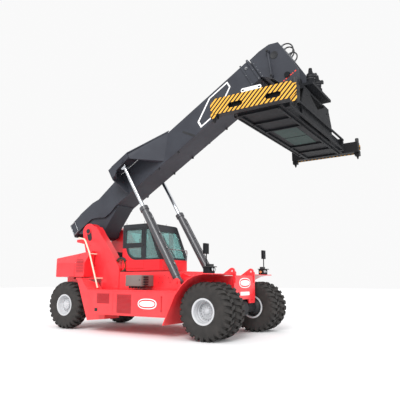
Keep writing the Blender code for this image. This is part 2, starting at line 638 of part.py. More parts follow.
# ---- lift cylinders -----------------------------------------------------------------------
def lift_cylinders():
    for name, side in SIDES.items():
        frame = empty(f"lift_base_{name}", (LIFT_BASE[0], side * LIFT_Y, LIFT_BASE[1]), -LIFT_ANGLE, ground)
        eye = rod((0, -0.09, 0), (0, 0.09, 0), 0.115)
        barrel = rod((0.02, 0, 0), (2.93, 0, 0), 0.115)
        tube_part = rod((0.20, 0, 0), (2.90, 0, 0), 0.13)
        collar = rod((2.79, 0, 0), (2.925, 0, 0), 0.155)
        pin_bore = rod((0, -0.2, 0), (0, 0.2, 0), 0.055, 16)
        rod_bore = rod((0.17, 0, 0), (3.1, 0, 0), 0.078)
        node(f"lift_barrel_{name}", barrel, GREY_PAINT, [tube_part, collar, eye], [pin_bore, rod_bore], frame)
        piston = rod((0.19 + LIFT_STROKE_IN, 0, 0), (LIFT_LENGTH, 0, 0), 0.068)
        rod_eye = rod((LIFT_LENGTH, -0.09, 0), (LIFT_LENGTH, 0.09, 0), 0.11)
        node(f"lift_rod_{name}", piston, ROD_CHROME, [rod_eye], (), frame)


# ---- spreader -------------------------------------------------------------------------------
def hanger():
    plate = block((PIN_X - 0.50, -0.85, 7.24), (PIN_X + 0.90, 0.85, 7.32))
    clevis = prism([(PIN_X - 0.20, 7.28), (PIN_X + 0.20, 7.28)] + arc((PIN_X, PIN_Z), 0.19, 0, 180, 8),
                   -0.28, 0.28)
    pin = rod((PIN_X, -0.53, PIN_Z), (PIN_X, 0.53, PIN_Z), 0.09)
    ring = rod((PIN_X, 0, 7.18), (PIN_X, 0, 7.26), 0.50, 24)
    joins = [clevis, pin, ring]
    for side in SIDES.values():
        motor = turned([(0, 0.66), (0.05, 0.66), (0.07, 0.52), (0.12, 0.47), (0.12, 0.24), (0.15, 0.20),
                        (0.15, -0.02), (0, -0.02)], 12)
        motor.location = (PIN_X + 0.66, side * 0.30, 7.32)
        joins.append(motor)
    node("hanger", plate, BLACK_PAINT, joins, origin=(PIN_X, 0, PIN_Z))


def slew_yoke():
    top = block((PIN_X - 0.72, -1.12, 7.05), (PIN_X + 0.72, 1.12, 7.12))
    ring = rod((PIN_X, 0, 7.10), (PIN_X, 0, 7.172), 0.45, 24)
    outline = [(-1.35, 6.12), (1.35, 6.12), (1.35, 6.60), (1.12, 7.02), (1.12, 7.12), (0.60, 7.12),
               (0.60, 7.00), (0.0, 6.76), (-0.60, 7.00), (-0.60, 7.12), (-1.12, 7.12), (-1.12, 7.02),
               (-1.35, 6.60)]
    legs = [prism(outline, PIN_X + 0.70 * end, PIN_X + 0.735 * end, "yz") for end in (-1, 1)]
    node("slew_yoke", top, BLACK_PAINT, [ring, *legs], origin=(PIN_X, 0, 7.12))


BEAM_CENTRES = {"right": (0.51, -0.17), "left": (0.17, -0.51)}


def spreader_frame():
    body = block((PIN_X - 0.68, -2.70, 6.04), (PIN_X + 0.68, 2.70, 6.42))
    joins, cuts = [], []
    for end in (-1, 1):
        for low, high in ((6.07, 6.13), (6.40, 6.46)):
            near, far = sorted((PIN_X + end * 0.76, PIN_X + end * 0.81))
            joins.append(block((near, -2.45, low), (far, 2.45, high)))
        for side in SIDES.values():
            near, far = sorted((PIN_X + end * 0.60, PIN_X + end * 0.80))
            joins.append(both_sides((near, 2.30, 6.05), (far, 2.44, 6.45), side))
    for centres in BEAM_CENTRES.values():
        for centre in centres:
            cuts.append(block((PIN_X + centre - 0.14, -3.0, 6.07), (PIN_X + centre + 0.14, 3.0, 6.39)))
    node("spreader_frame", body, BLACK_PAINT, joins, cuts, origin=(PIN_X, 0, 6.23))


def spreader_arms():
    corner = 0.15
    w = SPREADER_HALF_WIDTH
    for name, side in SIDES.items():
        outline = [(PIN_X - w, SPREADER_LOW + corner), (PIN_X - w + corner, SPREADER_LOW),
                   (PIN_X + w - corner, SPREADER_LOW), (PIN_X + w, SPREADER_LOW + corner),
                   (PIN_X + w, SPREADER_HIGH - corner), (PIN_X + w - corner, SPREADER_HIGH),
                   (PIN_X - w + corner, SPREADER_HIGH), (PIN_X - w, SPREADER_HIGH - corner)]
        plate = prism(outline, side * 2.985, side * SPREADER_HALF_LENGTH)
        body = both_sides((PIN_X - w + 0.02, 2.74, 6.04), (PIN_X + w - 0.02, 2.99, 6.40), side)
        joins, cuts = [body], []
        for centre in BEAM_CENTRES[name]:
            joins.append(both_sides((PIN_X + centre - 0.13, -2.45, 6.085),
                                    (PIN_X + centre + 0.13, 2.76, 6.375), side))
        for end in (-1, 1):
            x = PIN_X + end * LOCK_X
            joins.append(both_sides((x - 0.083, 2.84, 5.93), (x + 0.083, 3.01, 6.10), side))
            joins.append(rod((x, side * LOCK_Y, 5.95), (x, side * LOCK_Y, 5.82), 0.055, 12, 0.02))
        for centre in (-0.46, 0.60):
            slot = (arc((PIN_X + centre + 0.14, 6.19), 0.07, -90, 90, 5)
                    + arc((PIN_X + centre - 0.14, 6.19), 0.07, 90, 270, 5))
            cuts.append(prism(slot, side * 2.93, side * 3.1))
        node(f"spreader_arm_{name}", plate, STRIPED_PAINT, joins, cuts, origin=(PIN_X, 0, 6.23))


main_frame()
front_plate()
counterweight()
engine_covers()
engine_block()
side_boxes()
front_fenders()
electric_cabinet()
mirrors()
hydraulic_pipe()
drive_axle()
steer_axle()
knuckles()
wheels()
cab_shell()
cab_doors()
cab_glass()
cab_inside()
boom_tail()
boom_outer()
boom_wings()
boom_inner()
head_hoses()
lift_cylinders()
hanger()
slew_yoke()
spreader_frame()
spreader_arms()
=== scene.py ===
# %% [markdown]
# # Dressing a reach stacker
# A reach stacker lifts freight containers with a telescopic boom. The solid parts are already
# modelled and packed, so this lesson loads them as a fixed frame and gives them their finishes,
# their tyres, lamps, glass, bolts and plates. Loading the frame first means that every place can be
# read from it, instead of being measured twice.
# %% Load the frame
import json
import math

import bmesh
import bpy
from mathutils import Matrix, Vector


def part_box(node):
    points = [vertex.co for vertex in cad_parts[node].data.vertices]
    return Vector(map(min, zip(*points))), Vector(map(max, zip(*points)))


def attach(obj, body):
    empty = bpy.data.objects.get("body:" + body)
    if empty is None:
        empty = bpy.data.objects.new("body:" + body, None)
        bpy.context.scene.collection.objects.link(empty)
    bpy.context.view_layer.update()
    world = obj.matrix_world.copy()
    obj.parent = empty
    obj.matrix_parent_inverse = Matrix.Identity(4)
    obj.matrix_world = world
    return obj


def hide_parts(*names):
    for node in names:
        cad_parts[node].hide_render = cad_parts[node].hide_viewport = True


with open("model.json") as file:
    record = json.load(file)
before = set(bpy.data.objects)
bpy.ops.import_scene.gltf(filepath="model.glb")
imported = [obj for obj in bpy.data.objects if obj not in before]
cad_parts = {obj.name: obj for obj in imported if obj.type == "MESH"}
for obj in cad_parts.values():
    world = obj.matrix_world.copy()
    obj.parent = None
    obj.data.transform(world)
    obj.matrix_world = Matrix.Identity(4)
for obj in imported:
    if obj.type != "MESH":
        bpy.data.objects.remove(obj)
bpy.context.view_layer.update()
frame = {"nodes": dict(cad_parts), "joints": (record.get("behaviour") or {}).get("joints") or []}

# %% [markdown]
# ## Where things are
# Most places on the machine are easiest to say from the front axle, and those on the boom from its
# pivot, along and square to the beam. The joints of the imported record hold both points, so two short
# functions turn such places into points of the scene.
# %% Places read from the joints
SIDES = {"right": -1, "left": 1}
JOINTS = {joint["name"]: joint for joint in frame["joints"]}
FRONT_AXLE = Vector(JOINTS["front_wheels_right_roll"]["pos_m"])
BOOM_PIVOT = Vector(JOINTS["boom_lift"]["pos_m"])
BOOM_ALONG = -Vector(JOINTS["boom_extend"]["axis"])
BOOM_UP = Vector((-BOOM_ALONG.z, 0, BOOM_ALONG.x))
HEAD_PIN = Vector(JOINTS["hanger_level"]["pos_m"])


def from_axle(x, y, z):
    """A point whose x is measured from the front axle."""
    return Vector((FRONT_AXLE.x + x, y, z))


def on_boom(along, up, y):
    """A point measured from the boom's pivot, along the beam and square to it."""
    return BOOM_PIVOT + along * BOOM_ALONG + up * BOOM_UP + Vector((0, y, 0))


print("front axle", tuple(FRONT_AXLE), "boom pivot", tuple(BOOM_PIVOT))

# %% [markdown]
# ## Camera
# The machine is seen from its front right corner, from about eye height, so the camera stands on the
# ground and tilts up a little. It could follow a target object, but a fixed place and two angles give
# the same view each time. The lens is a little longer than normal, which keeps the near spreader
# from looking swollen.
# %% Camera
LENS_MM = 41.53
CAMERA_PLACE = (9.051, -13.070, 1.684)
TILT = 99.86  # degrees, where 90 looks level
HEADING = 32.80
camera_data = bpy.data.cameras.new("camera")
camera_data.lens = LENS_MM
camera_data.sensor_width = 36
camera_data.clip_end = 200
camera = bpy.data.objects.new("camera", camera_data)
camera.location = CAMERA_PLACE
camera.rotation_euler = (math.radians(TILT), 0, math.radians(HEADING))
bpy.context.scene.collection.objects.link(camera)
bpy.context.scene.camera = camera
bpy.context.scene.view_settings.view_transform = "Standard"
print("camera at", tuple(camera.location), "with a", camera_data.lens, "mm lens")

# %% [markdown]
# ## Tools for materials
# Paint charts give a colour as an sRGB hex value, but light adds up in linear numbers, so one
# function turns the first into the second. A material is a graph of nodes. It could be wired by hand
# in the editor, but a short function that adds one node, with its settings and links, keeps the whole
# recipe readable from top to bottom.
# %% Small tools for materials
def linear(hex_colour):
    """An sRGB hex colour as linear red, green, blue and alpha."""
    values = [int(hex_colour[i:i + 2], 16) / 255 for i in (1, 3, 5)]
    return (*[v / 12.92 if v <= 0.04045 else ((v + 0.055) / 1.055) ** 2.4 for v in values], 1)


def add(tree, kind, settings=None, links=None):
    """Add a node with its settings and links. A key is an attribute, a socket's name or its number."""
    made = tree.nodes.new(kind)
    for key, value in (settings or {}).items():
        if isinstance(key, str) and hasattr(made, key):
            setattr(made, key, value)
        else:
            made.inputs[key].default_value = value
    for key, socket in (links or {}).items():
        tree.links.new(socket, made.inputs[key])
    return made


def start_material(name, **sockets):
    """A material with its shader's own sockets set."""
    made = bpy.data.materials.new(name)
    made.use_nodes = True
    shader = made.node_tree.nodes["Principled BSDF"]
    for key, value in sockets.items():
        shader.inputs[key.replace("_", " ")].default_value = value
    return made, made.node_tree, shader


print("linear mid grey:", linear("#808080")[0])

# %% [markdown]
# ## Light and floor
# Soft studio light comes from a pale sky all round and from two wide suns. The stronger one gives the
# enamel a gentle highlight, and the weaker one keeps the shaded side readable. An image of a studio
# would light it too, but two lamps and a plain colour are easier to change. The floor is nearly white,
# so that only the machine's shadow shows on it.
# %% Sky, sun and floor
world = bpy.data.worlds.new("studio")
world.use_nodes = True
world.node_tree.nodes["Background"].inputs["Color"].default_value = linear("#ffffff")
world.node_tree.nodes["Background"].inputs["Strength"].default_value = 0.95
bpy.context.scene.world = world


def studio_light(name, turn, strength, softness):
    """A sun turned by three angles in degrees. Its softness is the angle it fills in the sky."""
    data = bpy.data.lights.new(name, "SUN")
    data.energy = strength
    data.angle = math.radians(softness)
    made = bpy.data.objects.new(name, data)
    made.rotation_euler = [math.radians(a) for a in turn]
    bpy.context.scene.collection.objects.link(made)


studio_light("key_light", (52, 0, 20), 2.3, 25)
studio_light("side_light", (70, 0, 80), 0.7, 40)

floor_look, tree, shader = start_material("pale_floor", Roughness=0.9)
place = add(tree, "ShaderNodeTexCoord")
mottle = add(tree, "ShaderNodeTexNoise", {"Scale": 0.4, "Detail": 3}, {"Vector": place.outputs["Object"]})
pale = add(tree, "ShaderNodeMix", {"data_type": "RGBA", 6: linear("#f1f1f2"), 7: linear("#ededee")},
           {0: mottle.outputs["Fac"]})
tree.links.new(pale.outputs[2], shader.inputs["Base Color"])
floor_mesh = bpy.data.meshes.new("floor")
FLOOR_REACH = 80
floor_mesh.from_pydata(
    [(x * FLOOR_REACH, y * FLOOR_REACH, 0) for x, y in ((-1, -1), (1, -1), (1, 1), (-1, 1))],
    [], [(0, 1, 2, 3)])
floor_mesh.materials.append(floor_look)
floor = bpy.data.objects.new("floor", floor_mesh)
bpy.context.scene.collection.objects.link(floor)
print("floor", 2 * FLOOR_REACH, "m across")

# %% [markdown]
# ## Paints
# The body is steel plate with a sprayed two-pack enamel. Up close it has orange peel, a faint ripple
# a few millimetres across, and over a panel the colour drifts a little where sun and washing have
# been at it. Dust settles low on the machine. All of this could be painted on an image, but noise
# patterns in the paint's own nodes stay sharp at every scale and need no unwrapping.
# %% A sprayed enamel
PEEL_MM = 16  # real peel is about 4 mm, which is too fine to show here
PEEL_DEPTH = 0.05
FADED_PATCH_MM = 700
DUST_TOP = 1.5  # metres above the ground, where the dust thins out to nothing
DUST = linear("#8f8578")


def enamel(name, colour, faded, roughness, dust=0.18, coat=0.25, shine=0.5, tint=None):
    """Enamel that fades in patches, with dust low down. A tint changes the paint where it is told to."""
    made, tree, shader = start_material(
        name, Coat_Weight=coat, Coat_Roughness=0.15, IOR=1.5, Specular_IOR_Level=shine)
    place = add(tree, "ShaderNodeTexCoord")
    point = place.outputs["Object"]
    patches = add(tree, "ShaderNodeTexNoise", {"Scale": 1000 / FADED_PATCH_MM, "Detail": 5},
                  {"Vector": point})
    drift = add(tree, "ShaderNodeMapRange", {"From Min": 0.35, "From Max": 0.7},
                {"Value": patches.outputs["Fac"]})
    mixed = add(tree, "ShaderNodeMix", {"data_type": "RGBA", 6: linear(colour), 7: linear(faded)},
                {0: drift.outputs[0]})
    paint = mixed.outputs[2] if tint is None else tint(tree, point, mixed.outputs[2])
    axes = add(tree, "ShaderNodeSeparateXYZ", None, {0: point})
    low = add(tree, "ShaderNodeMapRange", {"From Min": DUST_TOP, "From Max": 0.2, "To Max": dust},
              {"Value": axes.outputs["Z"]})
    cloud = add(tree, "ShaderNodeTexNoise", {"Scale": 9, "Detail": 6}, {"Vector": point})
    dusty = add(tree, "ShaderNodeMath", {"operation": "MULTIPLY"},
                {0: low.outputs[0], 1: cloud.outputs["Fac"]})
    surface = add(tree, "ShaderNodeMix", {"data_type": "RGBA", 7: DUST}, {0: dusty.outputs[0], 6: paint})
    tree.links.new(surface.outputs[2], shader.inputs["Base Color"])
    gloss = add(tree, "ShaderNodeMapRange", {"To Min": roughness - 0.05, "To Max": roughness + 0.12},
                {"Value": cloud.outputs["Fac"]})
    tree.links.new(gloss.outputs[0], shader.inputs["Roughness"])
    ripple = add(tree, "ShaderNodeTexNoise", {"Scale": 1000 / PEEL_MM, "Detail": 2}, {"Vector": point})
    bump = add(tree, "ShaderNodeBump", {"Strength": PEEL_DEPTH, "Distance": 0.002},
               {"Height": ripple.outputs["Fac"]})
    tree.links.new(bump.outputs[0], shader.inputs["Normal"])
    return made


BODY_RED = "#e8212b"
RED = enamel("coral_red_enamel", BODY_RED, "#ee3038", 0.32, coat=0.35)
# A darker copy of the body red: painted shade, for the grilles, seams, latches, bolts and louvres that use
# it.
SHADED_RED = enamel("shaded_red_enamel", "#a80d1c", "#b51423", 0.45)
BOOM_GREY = enamel("charcoal_satin_enamel", "#34363d", "#3c3f46", 0.5, dust=0, coat=0.0, shine=0.25)
BLACK = enamel("black_satin_enamel", "#131417", "#191b1f", 0.55, dust=0, coat=0.0, shine=0.15)
CYLINDER_GREY = enamel("cylinder_grey_enamel", "#3c3d40", "#47484c", 0.38)
CABINET_GREY = enamel("grey_brown_enamel", "#6f6965", "#77716d", 0.45)
CREAM = enamel("cream_pipe_enamel", "#dccdb4", "#e6d9c3", 0.38)
RIM_SILVER = enamel("silver_rim_enamel", "#b9bbbf", "#c6c8cb", 0.36, dust=0.3)
PLATE_WHITE = enamel("white_plate_enamel", "#eeeeee", "#f6f6f6", 0.4, dust=0.05)
SIGNAL_RED = enamel("signal_red_enamel", "#e63c30", "#ef4a3c", 0.4)
UNDERSIDE_GREEN = enamel("grey_green_primer", "#2a3b39", "#31433f", 0.6, coat=0.0, shine=0.2)
print("made", len(bpy.data.materials), "materials so far")

# %% [markdown]
# ### Warning stripes
# The ends of the spreader carry yellow and black bars, masked and sprayed over the black. Here a
# slanting distance across the plate is cut into equal bars, so each bar has its real width, and the
# bars stop where the end plate does.
# %% Striped enamel
STRIPE_PITCH_MM = 133  # measured level along the plate
BLACK_SHARE = 0.46  # of each pitch
STRIPED_FROM_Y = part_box("spreader_arm_left")[1].y - 0.047


def warning_stripes(tree, point, under):
    """Yellow bars over the paint under them, on the outward faces of the end plates only."""
    axes = add(tree, "ShaderNodeSeparateXYZ", None, {0: point})
    slant = add(tree, "ShaderNodeMath", {"operation": "SUBTRACT"},
                {0: axes.outputs["X"], 1: axes.outputs["Z"]})
    bars = add(tree, "ShaderNodeMath", {"operation": "MULTIPLY", 1: 1000 / STRIPE_PITCH_MM},
               {0: slant.outputs[0]})
    within = add(tree, "ShaderNodeMath", {"operation": "FRACT"}, {0: bars.outputs[0]})
    yellow = add(tree, "ShaderNodeMath", {"operation": "GREATER_THAN", 1: BLACK_SHARE},
                 {0: within.outputs[0]})
    side = add(tree, "ShaderNodeMath", {"operation": "ABSOLUTE"}, {0: axes.outputs["Y"]})
    on_plate = add(tree, "ShaderNodeMath", {"operation": "GREATER_THAN", 1: STRIPED_FROM_Y},
                   {0: side.outputs[0]})
    faces = add(tree, "ShaderNodeTexCoord")
    towards = add(tree, "ShaderNodeSeparateXYZ", None, {0: faces.outputs["Normal"]})
    turned = add(tree, "ShaderNodeMath", {"operation": "ABSOLUTE"}, {0: towards.outputs["Y"]})
    outward = add(tree, "ShaderNodeMath", {"operation": "GREATER_THAN", 1: 0.6}, {0: turned.outputs[0]})
    outer = add(tree, "ShaderNodeMath", {"operation": "MULTIPLY"},
                {0: outward.outputs[0], 1: on_plate.outputs[0]})
    both = add(tree, "ShaderNodeMath", {"operation": "MULTIPLY"},
               {0: yellow.outputs[0], 1: outer.outputs[0]})
    done = add(tree, "ShaderNodeMix", {"data_type": "RGBA", 7: linear("#e9ae45")},
               {0: both.outputs[0], 6: under})
    return done.outputs[2]


STRIPED = enamel("striped_enamel", "#141416", "#1c1c1f", 0.5, dust=0, coat=0.0, shine=0.2,
                 tint=warning_stripes)
print("stripes start", round(STRIPED_FROM_Y, 3), "m from the middle")

# %% [markdown]
# ### The cab in two colours
# The cab is black above its belt line and body red below. The line is level under the windows and
# climbs round the door window's curved corner, so the paint is chosen by height and by the distance
# from that corner's centre. Inside, the walls stay black.
# %% Two-tone cab enamel
CAB_LOW, CAB_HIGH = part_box("cab_shell")
BELT = CAB_LOW.z + 0.367
CORNER = from_axle(-3.50, 0, 2.84)


def red_below_belt(tree, point, under):
    """Body red below the belt line, on the outer faces of the cab only."""
    axes = add(tree, "ShaderNodeSeparateXYZ", None, {0: point})
    side = add(tree, "ShaderNodeMath", {"operation": "ABSOLUTE"}, {0: axes.outputs["Y"]})
    flat = add(tree, "ShaderNodeCombineXYZ", None, {"X": axes.outputs["X"], "Z": axes.outputs["Z"]})
    away = add(tree, "ShaderNodeVectorMath", {"operation": "DISTANCE", 1: (CORNER.x, 0, CORNER.z)},
               {0: flat.outputs[0]})
    tests = [(axes.outputs["Z"], "LESS_THAN", BELT), (axes.outputs["X"], "LESS_THAN", CORNER.x),
             (axes.outputs["Z"], "LESS_THAN", CAB_LOW.z + 0.78),
             (away.outputs["Value"], "GREATER_THAN", CORNER.z - BELT),
             (side.outputs[0], "GREATER_THAN", CAB_HIGH.y - 0.048),
             (axes.outputs["X"], "GREATER_THAN", CAB_HIGH.x - 0.025),
             (axes.outputs["X"], "LESS_THAN", CAB_LOW.x + 0.03)]
    below, behind, low, beyond, flank, front, rear = (
        add(tree, "ShaderNodeMath", {"operation": kind, 1: limit}, {0: value}).outputs[0]
        for value, kind, limit in tests)
    for kind, other in (("MULTIPLY", low), ("MULTIPLY", beyond), ("MAXIMUM", below)):
        behind = add(tree, "ShaderNodeMath", {"operation": kind}, {0: behind, 1: other}).outputs[0]
    for other in (front, rear):
        flank = add(tree, "ShaderNodeMath", {"operation": "MAXIMUM"}, {0: flank, 1: other}).outputs[0]
    mask = add(tree, "ShaderNodeMath", {"operation": "MULTIPLY"}, {0: behind, 1: flank})
    done = add(tree, "ShaderNodeMix", {"data_type": "RGBA", 7: linear(BODY_RED)},
               {0: mask.outputs[0], 6: under})
    return done.outputs[2]


CAB_PAINT = enamel("cab_two_tone_enamel", "#1f2125", "#272a2f", 0.4, dust=0, coat=0.1, shine=0.3,
                   tint=red_below_belt)
print("belt line", round(BELT, 3), "m above the ground")

# %% [markdown]
# ### Metals, rubber and plastic
# Hard chrome on a cylinder rod is ground and polished, so it is nearly a mirror, with a thin smear of
# oil that dulls it in places. Cast axles are rough and black. Tyre rubber is dark and a little brown.
# Each of the rough ones is two close colours in soft clouds, over a grain of its own size, so one
# recipe serves them all.
# %% Bare and cast metal
made, tree, shader = start_material("hard_chrome", Metallic=1.0)
CHROME = made
place = add(tree, "ShaderNodeTexCoord")
smears = add(tree, "ShaderNodeTexNoise", {"Scale": 6, "Detail": 4}, {"Vector": place.outputs["Object"]})
shine = add(tree, "ShaderNodeMapRange", {"To Min": 0.10, "To Max": 0.24}, {"Value": smears.outputs["Fac"]})
oil = add(tree, "ShaderNodeMix", {"data_type": "RGBA", 6: linear("#dfe2e6"), 7: linear("#c3c7cd")},
          {0: smears.outputs["Fac"]})
tree.links.new(shine.outputs[0], shader.inputs["Roughness"])
tree.links.new(oil.outputs[2], shader.inputs["Base Color"])


def rough_solid(name, colour, other, grain_mm, depth, roughness, metallic=0.0):
    """Cast iron, rubber or moulded plastic: two colours in clouds over a fine grain."""
    made, tree, shader = start_material(name, Metallic=metallic)
    place = add(tree, "ShaderNodeTexCoord")
    cloud = add(tree, "ShaderNodeTexNoise", {"Scale": 5, "Detail": 6}, {"Vector": place.outputs["Object"]})
    spread = add(tree, "ShaderNodeMapRange", {"From Min": 0.35, "From Max": 0.65},
                 {"Value": cloud.outputs["Fac"]})
    mixed = add(tree, "ShaderNodeMix", {"data_type": "RGBA", 6: linear(colour), 7: linear(other)},
                {0: spread.outputs[0]})
    tree.links.new(mixed.outputs[2], shader.inputs["Base Color"])
    grain = add(tree, "ShaderNodeTexNoise", {"Scale": 1000 / grain_mm, "Detail": 4},
                {"Vector": place.outputs["Object"]})
    dull = add(tree, "ShaderNodeMapRange", {"To Min": roughness - 0.08, "To Max": roughness + 0.08},
               {"Value": grain.outputs["Fac"]})
    tree.links.new(dull.outputs[0], shader.inputs["Roughness"])
    bump = add(tree, "ShaderNodeBump", {"Strength": 0.4, "Distance": depth}, {"Height": grain.outputs["Fac"]})
    tree.links.new(bump.outputs[0], shader.inputs["Normal"])
    return made


IRON = rough_solid("black_cast_iron", "#17181b", "#222327", 20, 0.003, 0.6)
BRONZE = rough_solid("oiled_bronze", "#8a6a42", "#6e5231", 10, 0.001, 0.35, metallic=1.0)
ZINC = rough_solid("zinc_plated_steel", "#a9abae", "#8e9194", 10, 0.0005, 0.32, metallic=1.0)
RUBBER = rough_solid("tyre_rubber", "#22201f", "#2f2c2a", 18, 0.002, 0.8)
HOSE_RUBBER = rough_solid("hose_rubber", "#17181a", "#222326", 8, 0.0008, 0.5)
PLASTIC = rough_solid("moulded_black_plastic", "#1a1b1d", "#222325", 8, 0.0006, 0.5)
print("made", len(bpy.data.materials), "materials so far")

# %% [markdown]
# ### Glass, lenses and mirrors
# Cab glass is float glass, tinted green, and the amber and clear lenses are moulded plastic. Clean
# glass would vanish, so a thin film of dirt in clouds roughens it and lightens its tint a little. It
# could be an image of streaks, but noise does it with no seams. The mirrors are silvered glass, which
# acts as a polished metal.
# %% Glass and lenses
def tinted(name, colour, roughness, clearness):
    """Clear material that lets part of the light through, under a thin film of dirt."""
    made, tree, shader = start_material(name, Transmission_Weight=clearness, IOR=1.45)
    place = add(tree, "ShaderNodeTexCoord")
    film = add(tree, "ShaderNodeTexNoise", {"Scale": 3, "Detail": 5}, {"Vector": place.outputs["Object"]})
    haze = add(tree, "ShaderNodeMapRange", {"From Min": 0.45, "From Max": 0.9, "To Min": roughness,
                                            "To Max": roughness + 0.06}, {"Value": film.outputs["Fac"]})
    tree.links.new(haze.outputs[0], shader.inputs["Roughness"])
    tone = add(tree, "ShaderNodeMix", {"data_type": "RGBA", 6: linear(colour), 7: linear("#c9d6d4")},
               {0: haze.outputs[0]})
    tree.links.new(tone.outputs[2], shader.inputs["Base Color"])
    return made


GLASS = tinted("green_tinted_glass", "#a8d6d3", 0.0, 0.8)
LENS = tinted("clear_lens", "#f2f5f7", 0.05, 0.6)
AMBER = tinted("amber_lens", "#f08a1d", 0.15, 0.3)
MIRROR, tree, shader = start_material("silvered_glass", Metallic=1.0)
place = add(tree, "ShaderNodeTexCoord")
film = add(tree, "ShaderNodeTexNoise", {"Scale": 14}, {"Vector": place.outputs["Object"]})
haze = add(tree, "ShaderNodeMapRange", {"To Min": 0.02, "To Max": 0.08}, {"Value": film.outputs["Fac"]})
tree.links.new(haze.outputs[0], shader.inputs["Roughness"])
silver = add(tree, "ShaderNodeMix", {"data_type": "RGBA", 6: linear("#cfd6da"), 7: linear("#bcc4c9")},
             {0: film.outputs["Fac"]})
tree.links.new(silver.outputs[2], shader.inputs["Base Color"])
print("made", len(bpy.data.materials), "materials so far")

# %% [markdown]
# ### Seat cloth
# The seat has a dark woven cover, dull and slightly fuzzy. Two waves that cross and are multiplied
# together stand for the warp and the weft, and the same pattern drives the colour and the bump, so the
# light threads are also the high ones. A sheen gives the fuzz.
# %% Woven seat cloth
THREAD_MM = 9  # real threads are about 1 mm, too fine to show
WAVES_PER_METRE = 1000 / THREAD_MM / 6.28
CLOTH, tree, shader = start_material(
    "woven_seat_cloth", Sheen_Weight=0.3, Sheen_Roughness=0.5, Roughness=0.9)
place = add(tree, "ShaderNodeTexCoord")
warp = add(tree, "ShaderNodeTexWave", {"bands_direction": "Y", "Scale": WAVES_PER_METRE},
           {"Vector": place.outputs["Object"]})
weft = add(tree, "ShaderNodeTexWave", {"bands_direction": "DIAGONAL", "Scale": WAVES_PER_METRE},
           {"Vector": place.outputs["Object"]})
weave = add(tree, "ShaderNodeMath", {"operation": "MULTIPLY"},
            {0: warp.outputs["Fac"], 1: weft.outputs["Fac"]})
cloth = add(tree, "ShaderNodeMix", {"data_type": "RGBA", 6: linear("#1c1d20"), 7: linear("#35373c")},
            {0: weave.outputs[0]})
tree.links.new(cloth.outputs[2], shader.inputs["Base Color"])
bump = add(tree, "ShaderNodeBump", {"Strength": 0.5, "Distance": 0.002}, {"Height": weave.outputs[0]})
tree.links.new(bump.outputs[0], shader.inputs["Normal"])
print("made", len(bpy.data.materials), "materials in all")

# %% [markdown]
# ## Dressing the solid parts
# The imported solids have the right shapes, so they keep them and only take a finish. Folded and
# welded plate never has a knife edge, though, and it is the small round on each edge that catches
# the light. A bevel of a few millimetres gives that, after the triangles of each flat face have been
# dissolved into one.
# %% Give each solid part its finish
LOOKS = {
    RED: ("main_frame", "front_plate", "counterweight", "engine_cover_right", "engine_cover_left",
          "side_box_right", "side_box_left", "front_fender_right", "front_fender_left"),
    BOOM_GREY: ("boom_tail", "boom_outer", "boom_wing_right", "boom_wing_left", "boom_inner"),
    HOSE_RUBBER: ("head_hose_1", "head_hose_2", "head_hose_3"),
    BLACK: ("hanger", "slew_yoke", "spreader_frame", "mirror_and_lamp_right", "mirror_and_lamp_left"),
    STRIPED: ("spreader_arm_right", "spreader_arm_left"),
    CAB_PAINT: ("cab_shell", "cab_door_right", "cab_door_left"),
    CABINET_GREY: ("electric_cabinet",),
    CYLINDER_GREY: ("lift_barrel_right", "lift_barrel_left"),
    CHROME: ("lift_rod_right", "lift_rod_left"),
    CREAM: ("hydraulic_pipe",),
    IRON: ("engine_block", "drive_axle", "steer_axle", "knuckle_right", "knuckle_left"),
    GLASS: ("windscreen", "rear_window", "side_window_right", "side_window_left"),
}
PLATE_EDGE = 0.008  # metres, for every part that isn't listed here
EDGE_ROUND = {"counterweight": 0.03, "engine_cover_right": 0.012, "engine_cover_left": 0.012,
              "lift_rod_right": 0.004, "lift_rod_left": 0.004}
for name in (*LOOKS[GLASS], *LOOKS[HOSE_RUBBER], *LOOKS[CREAM]):
    EDGE_ROUND[name] = 0


def dress(node, look, edge):
    """Give one solid part its finish, and a small round on its edges."""
    part = frame["nodes"][node]
    part.data.materials.clear()
    part.data.materials.append(look)
    if "custom_normal" in part.data.attributes:
        part.data.attributes.remove(part.data.attributes["custom_normal"])
    part.data.shade_smooth()
    weld = part.modifiers.new("weld", "WELD")
    weld.merge_threshold = 0.00005
    if edge:
        flat = part.modifiers.new("flat_faces", "DECIMATE")
        flat.decimate_type = "DISSOLVE"
        flat.angle_limit = math.radians(0.8)
        bevel = part.modifiers.new("edge_round", "BEVEL")
        bevel.width = edge
        bevel.segments = 2
        bevel.limit_method = "ANGLE"
        bevel.angle_limit = math.radians(28)
        bevel.harden_normals = True
    else:
        part.data.shade_flat()


for look, nodes in LOOKS.items():
    for name in nodes:
        dress(name, look, EDGE_ROUND.get(name, PLATE_EDGE))
print("dressed", sum(len(nodes) for nodes in LOOKS.values()), "solid parts")

# %% [markdown]
# ## Tools for new shapes
# Bolts, plates, tyres and lamps are made from four kinds of solid: a block, a flat outline given
# thickness, a profile turned about an axis, and a pipe along a route. They could be modelled with
# Blender's own editing tools, but a function with sizes in metres can be read and changed later. Each
# one adds to a mesh that is already begun, so that a piece can hold many of them.
# %% Solids that add to a mesh
def add_block(shape, low, high):
    """A box between two opposite corners."""
    corners = bmesh.ops.create_cube(shape, size=1)["verts"]
    low, high = Vector(low), Vector(high)
    place = Matrix.Translation((low + high) / 2) @ Matrix.Diagonal((*(high - low), 1))
    bmesh.ops.transform(shape, matrix=place, verts=corners)


def add_sheet(shape, outline, thickness):
    """A flat outline of points, thickened by a vector."""
    near = [shape.verts.new(point) for point in outline]
    far = [shape.verts.new(Vector(point) + Vector(thickness)) for point in outline]
    shape.faces.new(near)
    shape.faces.new(far[::-1])
    for i in range(len(near)):
        j = (i + 1) % len(near)
        shape.faces.new((near[j], near[i], far[i], far[j]))


